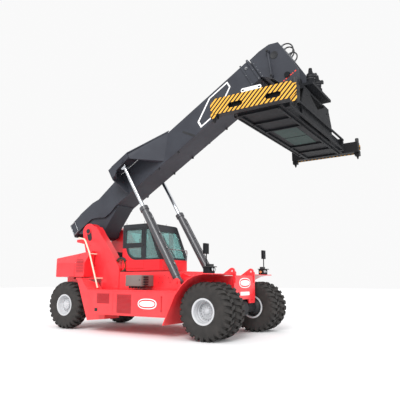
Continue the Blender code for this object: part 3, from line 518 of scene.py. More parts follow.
def add_turned(shape, profile, centre, axis, steps=48, closed=False):
    """A profile of radius and distance, turned about an axis through the centre."""
    turn = Vector((0, 0, 1)).rotation_difference(Vector(axis)).to_matrix().to_4x4()
    place = Matrix.Translation(centre) @ turn
    rings = []
    for radius, along in profile:
        if radius < 0.00001:
            rings.append([shape.verts.new(place @ Vector((0, 0, along)))])
            continue
        rings.append([
            shape.verts.new(place @ Vector((radius * math.cos(a), radius * math.sin(a), along)))
            for a in (2 * math.pi * i / steps for i in range(steps))])
    pairs = list(zip(rings, rings[1:])) + ([(rings[-1], rings[0])] if closed else [])
    for first, second in pairs:
        for i in range(steps):
            j = (i + 1) % steps
            ring = [first[i % len(first)], first[j % len(first)],
                    second[j % len(second)], second[i % len(second)]]
            corners = list(dict.fromkeys(ring))
            if len(corners) > 2:
                shape.faces.new(corners)


print("solids: block, sheet and turned profile")


# %% Rods and pipes
def add_rod(shape, start, end, radius, steps=20):
    """A round bar between two points."""
    start, end = Vector(start), Vector(end)
    length = (end - start).length
    add_turned(shape, [(0, 0), (radius, 0), (radius, length), (0, length)], start, end - start, steps)


def add_pipe(shape, route, radius, steps=10):
    """A round pipe that follows a route, with its ends closed."""
    route = [Vector(point) for point in route]
    side = None
    rings = []
    for i, point in enumerate(route):
        along = (route[min(i + 1, len(route) - 1)] - route[max(i - 1, 0)]).normalized()
        side = (along.orthogonal() if side is None else side - along * side.dot(along)).normalized()
        other = along.cross(side)
        rings.append([shape.verts.new(point + radius * (math.cos(a) * side + math.sin(a) * other))
                      for a in (2 * math.pi * k / steps for k in range(steps))])
    for first, second in zip(rings, rings[1:]):
        for k in range(steps):
            j = (k + 1) % steps
            shape.faces.new((first[k], first[j], second[j], second[k]))
    shape.faces.new(rings[0][::-1])
    shape.faces.new(rings[-1])


print("solids: rod and pipe")


# %% From a mesh to a piece that rides on a body
def make(name, shape, body, look, edge=0.0, stands_for=()):
    """Turn a mesh into a named piece that rides on a body."""
    bmesh.ops.recalc_face_normals(shape, faces=shape.faces)
    mesh = bpy.data.meshes.new(name)
    shape.to_mesh(mesh)
    shape.free()
    mesh.materials.append(look)
    mesh.shade_smooth()
    mesh.set_sharp_from_angle(angle=math.radians(35))
    piece = bpy.data.objects.new(name, mesh)
    bpy.context.scene.collection.objects.link(piece)
    if edge:
        bevel = piece.modifiers.new("edge_round", "BEVEL")
        bevel.width = edge
        bevel.segments = 2
        bevel.limit_method = "ANGLE"
        bevel.angle_limit = math.radians(35)
    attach(piece, body)
    if stands_for:
        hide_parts(*stands_for)
    return piece


# %% Points on a circle, and nuts
def circle(centre, first, second, radius, count, start=0.0, end=2 * math.pi, ends=False):
    """Points round a centre, in the plane of two directions."""
    share = count - 1 if ends else count
    angles = [start + (end - start) * i / share for i in range(count)]
    return [centre + radius * (math.cos(a) * first + math.sin(a) * second) for a in angles]


# Radius and distance along the bolt, as shares of the nut's size: washer, nut, then the bolt's end.
NUT_PROFILE = [(0, 0), (0.75, 0), (0.75, 0.12), (0.58, 0.12), (0.58, 0.5), (0.3, 0.5), (0.3, 0.75), (0, 0.75)]


def add_nut(shape, centre, axis, size):
    """A washer, a nut and the end of its bolt."""
    profile = [(size * r, size * d) for r, d in NUT_PROFILE]
    add_turned(shape, profile, Vector(centre), Vector(axis).normalized(), 12)


X, Y, Z = Vector((1, 0, 0)), Vector((0, 1, 0)), Vector((0, 0, 1))
print("a nut has", len(NUT_PROFILE), "points in its profile")

# %% [markdown]
# ## Tyres
# Port tyres are as tall as a person's chest and have a deep tread of slanting lugs that run over the
# shoulder. A tread could be painted as bump, but its outline shows against the light, so it is modelled.
# The carcass is a turned profile. A lug is a bar that follows the crown from the middle to the
# shoulder and down the side wall, drifting round the tyre as it goes, and the two rows of lugs are
# half a pitch apart.
# %% One tyre in place of its plain solid
LUGS_A_SIDE = 26
LUG_DRIFT = 0.42  # how far a lug leans round the tyre, as a share of the pitch
LUG_SINK = (0.085, 0.06)  # how deep its foot reaches into the crown, and into the shoulder
# Shares of the tyre's half width and radius, from the middle of the crown to the side wall.
LUG_PATH = [(0.00, 0.996), (0.24, 1.0), (0.50, 0.996), (0.70, 0.984),
            (0.86, 0.955), (0.955, 0.905), (0.985, 0.85)]
# Shares of the tyre's radius and half width, from the bead to the middle of the crown.
CARCASS = [(0.425, 0.76), (0.45, 0.86), (0.50, 0.93), (0.56, 0.955), (0.60, 0.975), (0.66, 0.985),
           (0.74, 0.985), (0.82, 0.962), (0.865, 0.91), (0.90, 0.80), (0.918, 0.62), (0.925, 0.3),
           (0.928, 0)]


def make_tyre(node, body):
    """A carcass with two rows of lugs, in place of the plain solid tyre."""
    low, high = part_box(node)
    centre = (low + high) / 2
    radius, half = (high.z - low.z) / 2, (high.y - low.y) / 2
    shape = bmesh.new()
    upper = [(r * radius, w * half) for r, w in CARCASS]
    profile = upper + [(r, -w) for r, w in upper[-2::-1]]
    add_turned(shape, profile, centre, Y, 96, closed=True)
    pitch = 2 * math.pi / LUGS_A_SIDE
    for side in SIDES.values():
        for lug in range(LUGS_A_SIDE):
            first = lug * pitch + (pitch / 2 if side > 0 else 0)
            rings = []
            for step, (width, height) in enumerate(LUG_PATH):
                share = step / (len(LUG_PATH) - 1)
                turn = first + pitch * LUG_DRIFT * share
                spread = pitch * (0.23 + 0.05 * share)
                sunk = LUG_SINK[0] if step < 4 else LUG_SINK[1]
                inward = max(0.0, width - 0.80) * 0.12
                ring = []
                for angle, depth in ((turn - spread, 0), (turn + spread, 0),
                                     (turn + spread * 1.18, sunk), (turn - spread * 1.18, sunk)):
                    r = (height - depth) * radius
                    y = side * (width - (inward if depth else 0)) * half
                    point = Vector((r * math.cos(angle), y, r * math.sin(angle)))
                    ring.append(shape.verts.new(centre + point))
                rings.append(ring)
            for a, b in zip(rings, rings[1:]):
                for k in range(4):
                    j = (k + 1) % 4
                    shape.faces.new((a[k], a[j], b[j], b[k]))
            shape.faces.new(rings[0])
            shape.faces.new(rings[-1][::-1])
    make(f"{node}_tread", shape, body, RUBBER, 0.006, (node,))


for name in SIDES:
    make_tyre(f"front_tyre_{name}_outer", f"front_wheels_{name}")
    make_tyre(f"front_tyre_{name}_inner", f"front_wheels_{name}")
    make_tyre(f"rear_tyre_{name}", f"rear_wheel_{name}")
print("six tyres with", 2 * LUGS_A_SIDE, "lugs each")

# %% [markdown]
# ## Rims
# The rims are pressed and welded steel, sprayed silver, with a rolled flange, a stepped barrel and a
# disc that a ring of nuts holds to the hub. The front ones carry two tyres, so their disc sits deep.
# A rim is round all over, so one profile turned about the axle makes it: the disc, then the flange,
# then the back. The profiles give radius and distance from the wheel's middle, in metres.
# %% Rims, hubs and wheel nuts
FLANGE = [(0.315, 0.20), (0.322, 0.218), (0.345, 0.226), (0.368, 0.224), (0.377, 0.212), (0.374, 0.196)]
FRONT_DISC = [(0, 0.05), (0.05, 0.045), (0.09, 0.02), (0.105, -0.01), (0.15, -0.02), (0.16, -0.04),
              (0.20, -0.045), (0.208, -0.07), (0.27, -0.075), (0.278, -0.02), (0.30, -0.01),
              (0.305, 0.08), (0.316, 0.09), (0.316, 0.12)]
REAR_DISC = [(0, 0.135), (0.07, 0.135), (0.085, 0.12), (0.15, 0.115), (0.16, 0.06), (0.27, 0.045),
             (0.285, 0.06), (0.30, 0.13), (0.312, 0.15)]
FRONT_BACK = [(0.34, 0.196), (0.34, -0.196), (0.375, -0.196), (0.375, -0.384), (0.34, -0.384), (0.34, -0.776),
              (0.375, -0.776), (0.375, -0.795), (0.315, -0.795), (0.315, -0.30), (0, -0.30)]
REAR_BACK = [(0.34, 0.196), (0.34, -0.196), (0.375, -0.196), (0.375, -0.215), (0.315, -0.215), (0.315, 0.02),
             (0, 0.02)]
# End, body, profile, number of wheel nuts, radius of their ring, its depth and the hub bolts' depth.
WHEELS = [("front", "front_wheels", FRONT_DISC + FLANGE + FRONT_BACK, 20, 0.24, -0.075, -0.016),
          ("rear", "rear_wheel", REAR_DISC + FLANGE + REAR_BACK, 16, 0.215, 0.05, 0.118)]
for name, side in SIDES.items():
    for end, wheel, profile, nuts, ring, nut_y, hub_y in WHEELS:
        body = f"{wheel}_{name}"
        centre = Vector(JOINTS[f"{body}_roll"]["pos_m"])
        shape = bmesh.new()
        add_turned(shape, profile, centre, side * Y, 72)
        make(f"{end}_rim_{name}_disc", shape, body, RIM_SILVER, 0, (f"{end}_rim_{name}",))
        shape = bmesh.new()
        for point in circle(centre + side * nut_y * Y, X, Z, ring, nuts):
            add_nut(shape, point, side * Y, 0.026)
        for point in circle(centre + side * hub_y * Y, X, Z, 0.128, 10, 0.2, 6.483):
            add_nut(shape, point, side * Y, 0.016)
        make(f"{end}_wheel_nuts_{name}", shape, body, ZINC)
print("rims dressed")

# %% [markdown]
# ## Door windows
# Each door has an upper and a lower window, a pane of glass held in black rubber. The lower one has a
# rounded rear corner. A pane is its outline given a thickness, and the rubber is a thin round bar laid
# along the same outline, which catches the light as a real lip seal does.
# %% Door panes and their rubber
DOOR_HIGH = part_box("cab_door_left")[1]
PANES = {
    "upper": [(-3.983, 2.947), (-3.267, 2.947), (-3.267, 3.423), (-3.983, 3.423)],
    "lower": [(-3.267, 2.437), (-3.267, 2.813), (-3.903, 2.813), (-3.878, 2.70), (-3.81, 2.585),
              (-3.72, 2.50), (-3.61, 2.452), (-3.50, 2.437)],
}
for name, side in SIDES.items():
    for pane, outline in PANES.items():
        shape = bmesh.new()
        pane_y = side * (DOOR_HIGH.y - 0.03)
        add_sheet(shape, [from_axle(x, pane_y, z) for x, z in outline], side * 0.006 * Y)
        make(f"door_{pane}_pane_{name}", shape, f"door_{name}", GLASS)
        shape = bmesh.new()
        closed = [from_axle(x, side * (DOOR_HIGH.y + 0.001), z) for x, z in outline]
        for first, second in zip(closed, closed[1:] + closed[:1]):
            add_rod(shape, first, second, 0.011, 8)
        make(f"door_{pane}_seal_{name}", shape, f"door_{name}", PLASTIC)
print("door panes set", DOOR_HIGH.y - 0.03, "m from the middle")

# %% [markdown]
# ## Seat and steering
# Inside the cab are a sprung seat and a steering wheel on a leaning column, which show through the
# glass. A cushion swells where foam pushes its cover out and draws in along its seams. A cloth
# simulation could find that shape, but the seat stands far off behind glass, so each cushion is a grid
# whose height follows a formula: a crown, drawn-in sides and two sewn channels.
# %% One cushion
CHANNEL_DEPTH = 0.012
# Place from the front axle in x and z, size, and how far it leans back in degrees.
CUSHIONS = [(-3.52, 2.475, (0.50, 0.49, 0.125), 0), (-3.80, 2.81, (0.70, 0.45, 0.115), -100.5),
            (-3.875, 3.24, (0.19, 0.25, 0.10), -96)]


def add_cushion(shape, centre, size, lean):
    """A crowned pad whose sides pull in between its corners, with two sewn channels."""
    steps = 14
    place = Matrix.Translation(centre) @ Matrix.Rotation(lean, 4, "Y")
    for face in (1, -1):
        rows = []
        for i in range(steps + 1):
            row = []
            for j in range(steps + 1):
                u, v = 2 * i / steps - 1, 2 * j / steps - 1
                crown = (1 - u ** 4) * (1 - v ** 4)
                seam = CHANNEL_DEPTH * (math.exp(-((abs(v) - 0.42) / 0.06) ** 2)) * crown
                pull = 1 - 0.03 * (1 - u * u) * abs(v) ** 6 - 0.03 * (1 - v * v) * abs(u) ** 6
                height = face * (size[2] / 2 * (0.55 + 0.45 * crown) - seam)
                point = Vector((u * size[0] / 2 * pull, v * size[1] / 2 * pull, height))
                row.append(shape.verts.new(place @ point))
            rows.append(row)
        for i in range(steps):
            for j in range(steps):
                shape.faces.new((rows[i][j], rows[i + 1][j], rows[i + 1][j + 1], rows[i][j + 1]))
        edge = rows[0] + [r[-1] for r in rows[1:]] + rows[-1][-2::-1] + [r[0] for r in rows[-2:0:-1]]
        if face == 1:
            rim = edge
    for k in range(len(rim)):
        j = (k + 1) % len(rim)
        shape.faces.new((rim[k], rim[j], edge[j], edge[k]))


print("each cushion is a closed grid")

# %% Seat cushions and their suspension
shape = bmesh.new()
for x, z, size, lean in CUSHIONS:
    add_cushion(shape, from_axle(x, 0, z), size, math.radians(lean))
seat = make("seat_cushions", shape, "chassis", CLOTH, 0, ("driver_seat",))
shape = bmesh.new()
add_block(shape, from_axle(-3.72, -0.19, CAB_LOW.z + 0.06), from_axle(-3.38, 0.19, CAB_LOW.z + 0.13))
for level in range(5):
    grow = 0.0 if level % 2 else 0.012
    add_block(shape, from_axle(-3.68 - grow, -0.15 - grow, CAB_LOW.z + 0.13 + 0.05 * level),
              from_axle(-3.42 + grow, 0.15 + grow, CAB_LOW.z + 0.18 + 0.05 * level))
make("seat_suspension", shape, "chassis", PLASTIC, 0.004)
print(len(CUSHIONS), "cushions on a sprung base")

# %% Steering wheel and column
shape = bmesh.new()
WHEEL_RADIUS = 0.19
hub = from_axle(-2.982, 0, 2.665)
tilt = Vector((-0.447, 0, 0.894))
across = tilt.cross(Y)
add_pipe(shape, circle(hub, across, Y, WHEEL_RADIUS, 33, ends=True), 0.014)
for angle in (90, 210, 330):
    reach = math.cos(math.radians(angle)) * across + math.sin(math.radians(angle)) * Y
    add_rod(shape, hub, hub + 0.185 * reach, 0.011, 8)
add_rod(shape, hub - 0.03 * tilt, hub + 0.02 * tilt, 0.045)
add_rod(shape, from_axle(-2.86, 0, CAB_LOW.z + 0.08), hub, 0.032)
add_block(shape, from_axle(-2.97, -0.13, CAB_LOW.z + 0.056), from_axle(-2.73, 0.13, CAB_LOW.z + 0.15))
make("steering_wheel_and_column", shape, "chassis", PLASTIC, 0, ("steering_console",))
print("steering wheel", 2 * WHEEL_RADIUS, "m across")

# %% [markdown]
# ## Outside of the cab
# The roof has a raised panel and three short antennas. A handrail crosses the windscreen's foot, with
# the wiper above it, and each door has a handle and three hinges. They are thin round bars and small
# blocks, set from the cab's own box so that they sit on its faces.
# %% Roof, handrail, wiper, hinges and handles
def add_slab(shape, xs, ys, zs):
    """A block between two x, two y and two z, from the front axle. The y may come in either order."""
    add_block(shape, from_axle(xs[0], min(ys), zs[0]), from_axle(xs[1], max(ys), zs[1]))


shape = bmesh.new()
add_block(shape, Vector((CAB_LOW.x + 0.02, CAB_LOW.y + 0.03, CAB_HIGH.z - 0.002)),
          Vector((CAB_LOW.x + 1.19, CAB_HIGH.y - 0.03, CAB_HIGH.z + 0.02)))
for x, y, height in ((-4.05, -0.70, 0.10), (-3.30, -0.62, 0.13), (-3.20, 0.5, 0.12)):
    foot = from_axle(x, y, CAB_HIGH.z)
    add_rod(shape, foot, foot + 0.03 * Z, 0.03)
    add_rod(shape, foot, foot + height * Z, 0.006, 8)
make("cab_roof_fittings", shape, "chassis", BLACK, 0.006)
shape = bmesh.new()
for x in (-2.40, -2.36):
    rail = [from_axle(x, -0.62, 2.36), from_axle(x + 0.02, -0.62, 2.66), from_axle(x + 0.02, -0.58, 2.72),
            from_axle(x + 0.02, 0.58, 2.72), from_axle(x + 0.02, 0.62, 2.66), from_axle(x, 0.62, 2.36)]
    add_pipe(shape, rail, 0.011)
make("windscreen_handrail", shape, "chassis", ZINC)
shape = bmesh.new()
add_rod(shape, from_axle(-2.455, 0.10, 2.42), from_axle(-2.73, -0.22, 3.08), 0.009, 8)
add_rod(shape, from_axle(-2.575, -0.26, 2.80), from_axle(-2.85, -0.20, 3.34), 0.011, 8)
make("windscreen_wiper", shape, "chassis", PLASTIC)
for name, side in SIDES.items():
    shape = bmesh.new()
    outer = side * (DOOR_HIGH.y + 0.004)
    add_slab(shape, (-3.245, -3.175), (outer, outer + side * 0.03), (2.87, 2.90))
    for z in (2.30, 2.86, 3.40):
        add_rod(shape, from_axle(-4.045, outer, z - 0.05), from_axle(-4.045, outer, z + 0.05), 0.012, 10)
    make(f"door_handle_and_hinges_{name}", shape, f"door_{name}", PLASTIC, 0.003)
print("roof at", round(CAB_HIGH.z, 3))

# %% [markdown]
# ## Side boxes
# The boxes between the wheels carry grilles, a blank oval plate, a latch bar and a small lamp, and thin
# seams show where their lids meet. The grilles, the latch and the seams are in the darker, shaded red,
# which paints shade on them. The seams could be cut into the mesh, but a strip of painted shade a few
# millimetres proud reads the same at this distance. A grille's slats are wedges, and its oval plate is
# three ovals on one another.
# %% Oval and rounded plates
# Half height, thickness, material and slot of the white edge, the red field and the blank panel.
BADGE_LAYERS = [(0.155, 0.006, PLATE_WHITE, "pipe_paint"), (0.128, 0.009, RED, "red_paint"),
                (0.085, 0.012, PLATE_WHITE, "pipe_paint")]


def add_oval(shape, centre, first, second, half_width, half_height, thickness):
    """An oval plate with nearly flat long sides."""
    points = []
    for i in range(40):
        c, s = math.cos(math.pi * i / 20), math.sin(math.pi * i / 20)
        points.append(centre + half_width * math.copysign(abs(c) ** 0.75, c) * first
                      + half_height * math.copysign(abs(s) ** 0.85, s) * second)
    add_sheet(shape, points, thickness)


def add_rounded(shape, centre, first, second, half_width, half_height, radius, thickness):
    """A flat plate with round corners."""
    points = []
    for quarter, (a, b) in enumerate(((1, 1), (-1, 1), (-1, -1), (1, -1))):
        corner = centre + a * (half_width - radius) * first + b * (half_height - radius) * second
        start = quarter * math.pi / 2
        points += circle(corner, first, second, radius, 6, start, start + math.pi / 2, True)
    add_sheet(shape, points, thickness)


def make_badge(names, centre, first, outward, half_widths):
    """An oval plate in three layers."""
    for name, half_width, (half_height, thickness, look, slot) in zip(names, half_widths, BADGE_LAYERS):
        shape = bmesh.new()
        add_oval(shape, centre, first, Z, half_width, half_height, thickness * outward)
        make(name, shape, "chassis", look)


print("an oval plate has", len(BADGE_LAYERS), "layers")

# %% Grilles, plates and latches on the side boxes
SIDE_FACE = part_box("side_box_left")[1].y
# Ranges of x and z from the front axle, and the number of slats.
GRILLES = [((-4.10, -3.55), (0.95, 1.27), 9), ((-3.23, -2.63), (0.67, 1.25), 15)]
SEAMS = [((-4.40, -1.00), (1.335, 1.341)), ((-4.10, -1.24), (0.635, 0.641)),
         ((-3.40, -3.394), (0.64, 1.335))]
for name, side in SIDES.items():
    face = side * SIDE_FACE
    shape = bmesh.new()
    for (x_low, x_high), (z_low, z_high), slats in GRILLES:
        add_slab(shape, (x_low, x_high), (face, face + side * 0.004), (z_low, z_high))
        for slat in range(slats):
            z = z_low + (slat + 0.5) * (z_high - z_low) / slats
            add_sheet(shape, [from_axle(x_low + 0.02, face + side * 0.004, z - 0.012),
                              from_axle(x_low + 0.02, face + side * 0.018, z - 0.004),
                              from_axle(x_low + 0.02, face + side * 0.004, z + 0.008)],
                      (x_high - x_low - 0.04) * X)
    # The grille's backing and slats take the shaded red: painted shade.
    make(f"side_grilles_{name}", shape, "chassis", SHADED_RED)
    make_badge([f"side_plate{layer}_{name}" for layer in ("", "_field", "_panel")],
               from_axle(-2.00, face, 0.98), X, side * Y, (0.36, 0.325, 0.29))
    shape = bmesh.new()
    add_slab(shape, (-1.475, -1.455), (face, face + side * 0.02), (0.76, 1.22))
    for z in (0.79, 1.19):
        add_rod(shape, from_axle(-1.465, face, z), from_axle(-1.465, face + side * 0.03, z), 0.018, 12)
    # The latch takes the shaded red: painted shade.
    make(f"side_latch_{name}", shape, "chassis", SHADED_RED, 0.003)
    shape = bmesh.new()
    add_slab(shape, (-4.18, -4.06), (face, face + side * 0.012), (0.70, 0.80))
    lamp = from_axle(-4.12, face, 0.75)
    add_rod(shape, lamp + side * 0.010 * Y, lamp + side * 0.03 * Y, 0.03)
    make(f"side_marker_lamp_{name}", shape, "chassis", PLASTIC, 0.003)
    shape = bmesh.new()
    for xs, zs in SEAMS:
        add_slab(shape, xs, (face, face + side * 0.002), zs)
    # The seams are strips of painted shade, in the shaded red.
    make(f"side_seams_{name}", shape, "chassis", SHADED_RED)
print("side boxes dressed at", SIDE_FACE, "m")

# %% [markdown]
# ## Pins, bolts and the reel
# Each tower has a dark cap over the boom's pin, and bolts hold the heavy brackets to the frame. Behind
# the cab stands a reel with a dark open rim and a bronze drum. The rim is a pipe along part of a
# circle, and the drum a short turned ring.
# %% Pins, bolts and the reel
TOWER_FACE = 0.90
FRAME_FACE = 0.88
TOWER_BOLTS = [(-5.62, 2.95), (-5.45, 2.60), (-5.32, 2.20), (-5.25, 1.90), (-4.70, 2.35), (-4.95, 2.80)]
FRAME_BOLTS = [(-2.40, 1.78), (-2.20, 1.84), (-2.05, 1.76), (-2.28, 1.62), (-1.98, 1.62), (-2.44, 1.60)]
REEL = from_axle(-4.17, -0.80, 2.20)


def arc(centre, first, second, radius, count, start, end):
    """Points along part of a circle, between two angles in degrees."""
    return circle(centre, first, second, radius, count, math.radians(start), math.radians(end), True)


for name, side in SIDES.items():
    shape = bmesh.new()
    outer = side * 0.9005
    cap = arc(from_axle(-5.73, outer, 3.44), X, Z, 0.115, 17, 20, 200)
    cap += arc(from_axle(-5.67, outer, 3.22), X, Z, 0.10, 17, 200, 380)
    add_sheet(shape, cap, side * 0.012 * Y)
    add_rod(shape, BOOM_PIVOT + side * TOWER_FACE * Y, BOOM_PIVOT + side * 0.945 * Y, 0.085, 32)
    make(f"tower_pin_cap_{name}", shape, "chassis", IRON, 0.004)
    shape = bmesh.new()
    for bolts, face in ((TOWER_BOLTS, TOWER_FACE), (FRAME_BOLTS, FRAME_FACE)):
        for x, z in bolts:
            add_nut(shape, from_axle(x, side * face, z), side * Y, 0.022)
    # The frame bolts take the shaded red: painted shade on the red frame.
    make(f"frame_bolts_{name}", shape, "chassis", SHADED_RED)
shape = bmesh.new()
add_pipe(shape, arc(REEL, X, Z, 0.25, 33, 35, 325), 0.045, 12)
make("cable_reel_rim", shape, "chassis", PLASTIC)
shape = bmesh.new()
drum = [(0.195, -0.03), (0.215, -0.03), (0.215, 0.03), (0.195, 0.03)]
add_turned(shape, drum, REEL, Y, 48, closed=True)
make("cable_reel_drum", shape, "chassis", BRONZE)
print("reel at", tuple(REEL))

# %% [markdown]
# ## Electric cabinet
# A grey box on the frame has a hinged lid with a round lock, cable glands under it and a stack of
# valves beside it. A plain block would do for the lid, but pressed sheet has round corners, so it is a
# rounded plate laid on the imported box, with two small hinges.
# %% Cabinet fittings
CABINET_LOW, CABINET_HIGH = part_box("electric_cabinet")
shape = bmesh.new()
front = CABINET_LOW.y
middle = (CABINET_LOW + CABINET_HIGH) / 2
add_rounded(shape, Vector((middle.x, front, middle.z)), X, Z, 0.31, 0.16, 0.02, -0.008 * Y)
for share in (0.2, 0.8):
    hinge = Vector((CABINET_LOW.x + 0.02, front - 0.01, CABINET_LOW.z + share * 0.36))
    add_rod(shape, hinge - 0.03 * Z, hinge + 0.03 * Z, 0.009, 10)
make("cabinet_lid", shape, "chassis", CABINET_GREY, 0.004)
shape = bmesh.new()
add_rod(shape, Vector((CABINET_HIGH.x - 0.07, front - 0.02, CABINET_LOW.z + 0.20)),
        Vector((CABINET_HIGH.x - 0.07, front - 0.006, CABINET_LOW.z + 0.20)), 0.017)
for share in (0.12, 0.3, 0.48, 0.66, 0.84):
    x = CABINET_LOW.x + share * (CABINET_HIGH.x - CABINET_LOW.x)
    add_rod(shape, Vector((x, front + 0.12, CABINET_LOW.z - 0.07)),
            Vector((x, front + 0.12, CABINET_LOW.z)), 0.028)
    add_block(shape, Vector((x - 0.03, front + 0.2, CABINET_LOW.z - 0.05)),
              Vector((x + 0.04, front + 0.3, CABINET_LOW.z)))
for level in range(4):
    z = CABINET_LOW.z + 0.03 + 0.08 * level
    add_block(shape, Vector((CABINET_HIGH.x, front + 0.10, z)),
              Vector((CABINET_HIGH.x + 0.05, front + 0.30, z + 0.05)))
make("cabinet_glands_and_valves", shape, "chassis", PLASTIC, 0.005)
print("cabinet dressed")

# %% [markdown]
# ## Lamps and mirrors
# Over each front wheel stand two round head lamps, an amber indicator that looks outward, and a
# mirror. A lamp is a turned bowl with a separate turned lens in its mouth, so the light passes through
# clear plastic and meets dark plastic behind it.
# %% Lamps, indicators and mirrors
HEAD_LAMPS = (1.66, 1.78)
BOWL = [(0, -0.03), (0.045, -0.03), (0.056, 0.0), (0.056, 0.025), (0.050, 0.025), (0.046, 0.012), (0, 0.012)]
LENS_CAP = [(0, 0.032), (0.02, 0.031), (0.046, 0.022), (0.046, 0.013), (0, 0.013)]
for name, side in SIDES.items():
    shape = bmesh.new()
    for y in HEAD_LAMPS:
        add_turned(shape, BOWL, from_axle(0.15, side * y, 1.985), X, 24)
    add_slab(shape, (-0.04, 0.2), (side * 1.58, side * 2.0), (2.05, 2.075))
    add_slab(shape, (0.02, 0.12), (side * 1.62, side * 1.84), (2.07, 2.14))
    make(f"lamp_cluster_{name}", shape, "chassis", PLASTIC, 0.004)
    shape = bmesh.new()
    for y in HEAD_LAMPS:
        add_turned(shape, LENS_CAP, from_axle(0.15, side * y, 1.985), X, 24)
    make(f"lamp_lenses_{name}", shape, "chassis", LENS)
    shape = bmesh.new()
    add_turned(shape, [(0, 0.05), (0.03, 0.047), (0.045, 0.03), (0.047, 0.0), (0, 0.0)],
               from_axle(0.06, side * 1.60, 1.96), -side * Y, 24)
    make(f"indicator_{name}", shape, "chassis", AMBER)
    shape = bmesh.new()
    add_rounded(shape, from_axle(-0.0005, side * 1.91, 2.57), Y, Z, 0.095, 0.13, 0.03, -0.003 * X)
    make(f"mirror_glass_{name}", shape, "chassis", MIRROR)
print("head lamps", HEAD_LAMPS, "m from the middle")

# %% [markdown]
# ## Front plate
# The steel front carries an oval plate like the ones on the sides, a long blank plate on two bolts
# under it, and three bare brake pipes that run down behind. The oval reuses the sides' layers.
# %% Front plate, its blank oval and the brake pipes
FRONT_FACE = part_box("front_plate")[1].x - 0.03
make_badge(("front_oval_plate", "front_oval_field", "front_oval_panel"), Vector((FRONT_FACE, 0, 1.60)), Y, X,
           (0.37, 0.335, 0.30))
shape = bmesh.new()
add_rounded(shape, Vector((FRONT_FACE, 0, 1.275)), Y, Z, 0.30, 0.055, 0.02, 0.005 * X)
for y in (-0.27, 0.27):
    add_nut(shape, Vector((FRONT_FACE + 0.005, y, 1.275)), X, 0.012)
make("front_blank_plate", shape, "chassis", PLATE_WHITE, 0.002)
shape = bmesh.new()
for y in (-0.13, -0.03, 0.10):
    add_rod(shape, from_axle(0.12, y, 0.78), from_axle(0.12, y, 1.16), 0.018, 12)
make("brake_pipes", shape, "chassis", ZINC)
print("front face at", FRONT_FACE)

# %% [markdown]
# ## Rear lamps and cooling grilles
# The back of the counterweight has a lamp in a dark housing on each side, and the engine covers have
# louvres that let the hot air out. Louvres are bent slats. They could be cut and folded out of the
# cover, but the slot behind each is too dark to see into, so each one is a small wedge on its face.
# %% Rear lamps and louvres
REAR_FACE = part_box("counterweight")[0].x
for name, side in SIDES.items():
    lamp = Vector((REAR_FACE, side * 0.56, 2.10))
    shape = bmesh.new()
    add_rounded(shape, lamp, Y, Z, 0.17, 0.07, 0.03, -0.02 * X)
    make(f"rear_lamp_housing_{name}", shape, "chassis", PLASTIC, 0.003)
    shape = bmesh.new()
    for y in (-0.085, 0.085):
        add_turned(shape, [(0, 0.03), (0.03, 0.028), (0.05, 0.022), (0.055, 0.015), (0, 0.015)],
                   lamp + y * Y, -X, 24)
    make(f"rear_lamp_lenses_{name}", shape, "chassis", SIGNAL_RED)
    cover_low, cover_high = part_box(f"engine_cover_{name}")
    start = cover_low.x + 0.07
    flank = side * max(abs(cover_low.y), abs(cover_high.y))
    shape = bmesh.new()
    for slat in range(9):
        z = cover_low.z + 0.16 + 0.055 * slat
        wedge = [Vector((start, flank, z)), Vector((start, flank + side * 0.014, z)),
                 Vector((start, flank, z + 0.035))]
        add_sheet(shape, wedge, (cover_high.x - cover_low.x - 0.14) * X)
    # The louvre wedges take the shaded red, painted shade for the dark slots behind them.
    make(f"engine_cover_louvres_{name}", shape, "chassis", SHADED_RED)
print("rear dressed at", round(REAR_FACE, 3))

# %% [markdown]
# ## Boom fittings
# The boom carries a white-edged blank plate on each flank, a slot and hooks, bolts on its collar, a
# pair of pipes along its top, and a roller and a grating at its tail. Everything is placed along and
# square to the beam, so it would follow if the boom were drawn at another angle.
# %% Plates, slot, hooks and collar bolts
BOOM_FLANK = 0.5005
LOZENGE_EDGE = [(5.72, 0.42), (6.55, 0.42), (7.33, 0.86), (7.33, 1.10), (6.50, 1.10), (5.72, 0.68)]
LOZENGE_FIELD = [(5.79, 0.47), (6.53, 0.47), (7.28, 0.885), (7.28, 1.05), (6.52, 1.05), (5.79, 0.65)]
SLOT_RADIUS = 0.035
for name, side in SIDES.items():
    face = side * BOOM_FLANK
    shape = bmesh.new()
    add_sheet(shape, [on_boom(u, v, face) for u, v in LOZENGE_EDGE], side * 0.004 * Y)
    make(f"boom_plate_edge_{name}", shape, "boom", PLATE_WHITE)
    shape = bmesh.new()
    add_sheet(shape, [on_boom(u, v, face) for u, v in LOZENGE_FIELD], side * 0.007 * Y)
    make(f"boom_plate_field_{name}", shape, "boom", BOOM_GREY)
    shape = bmesh.new()
    # The slot is not cut through: a dark sheet on the flank paints the shade inside it.
    ends = on_boom(5.09, 0.77, face), on_boom(5.37, 0.36, face)
    lean = (ends[1] - ends[0]).normalized()
    width = lean.cross(Y)
    for end, start in zip(ends, (math.pi / 2, -math.pi / 2)):
        half = circle(end, lean, width, SLOT_RADIUS, 13, start, start + math.pi, True)
        add_sheet(shape, half, side * 0.006 * Y)
    reach = SLOT_RADIUS * width
    add_sheet(shape, [ends[0] + reach, ends[1] + reach, ends[1] - reach, ends[0] - reach], side * 0.006 * Y)
    for along in (1.2, 3.6, 4.55, 6.2):
        hook = on_boom(along, 0.30, side * 0.44)
        add_block(shape, hook - Vector((0.03, 0.02, 0.03)), hook + Vector((0.03, 0.02, 0.03)))
    make(f"boom_slot_shade_and_hooks_{name}", shape, "boom", IRON)
    shape = bmesh.new()
    for along in (7.955, 8.235):
        for up in (0.36, 0.75, 1.14):
            add_nut(shape, on_boom(along, up, side * 0.535), side * Y, 0.022)
    add_nut(shape, on_boom(8.08, 0.98, side * 0.50), side * Y, 0.07)
    make(f"collar_bolts_{name}", shape, "boom", ZINC)
print("boom flanks dressed", BOOM_FLANK, "m from the middle")

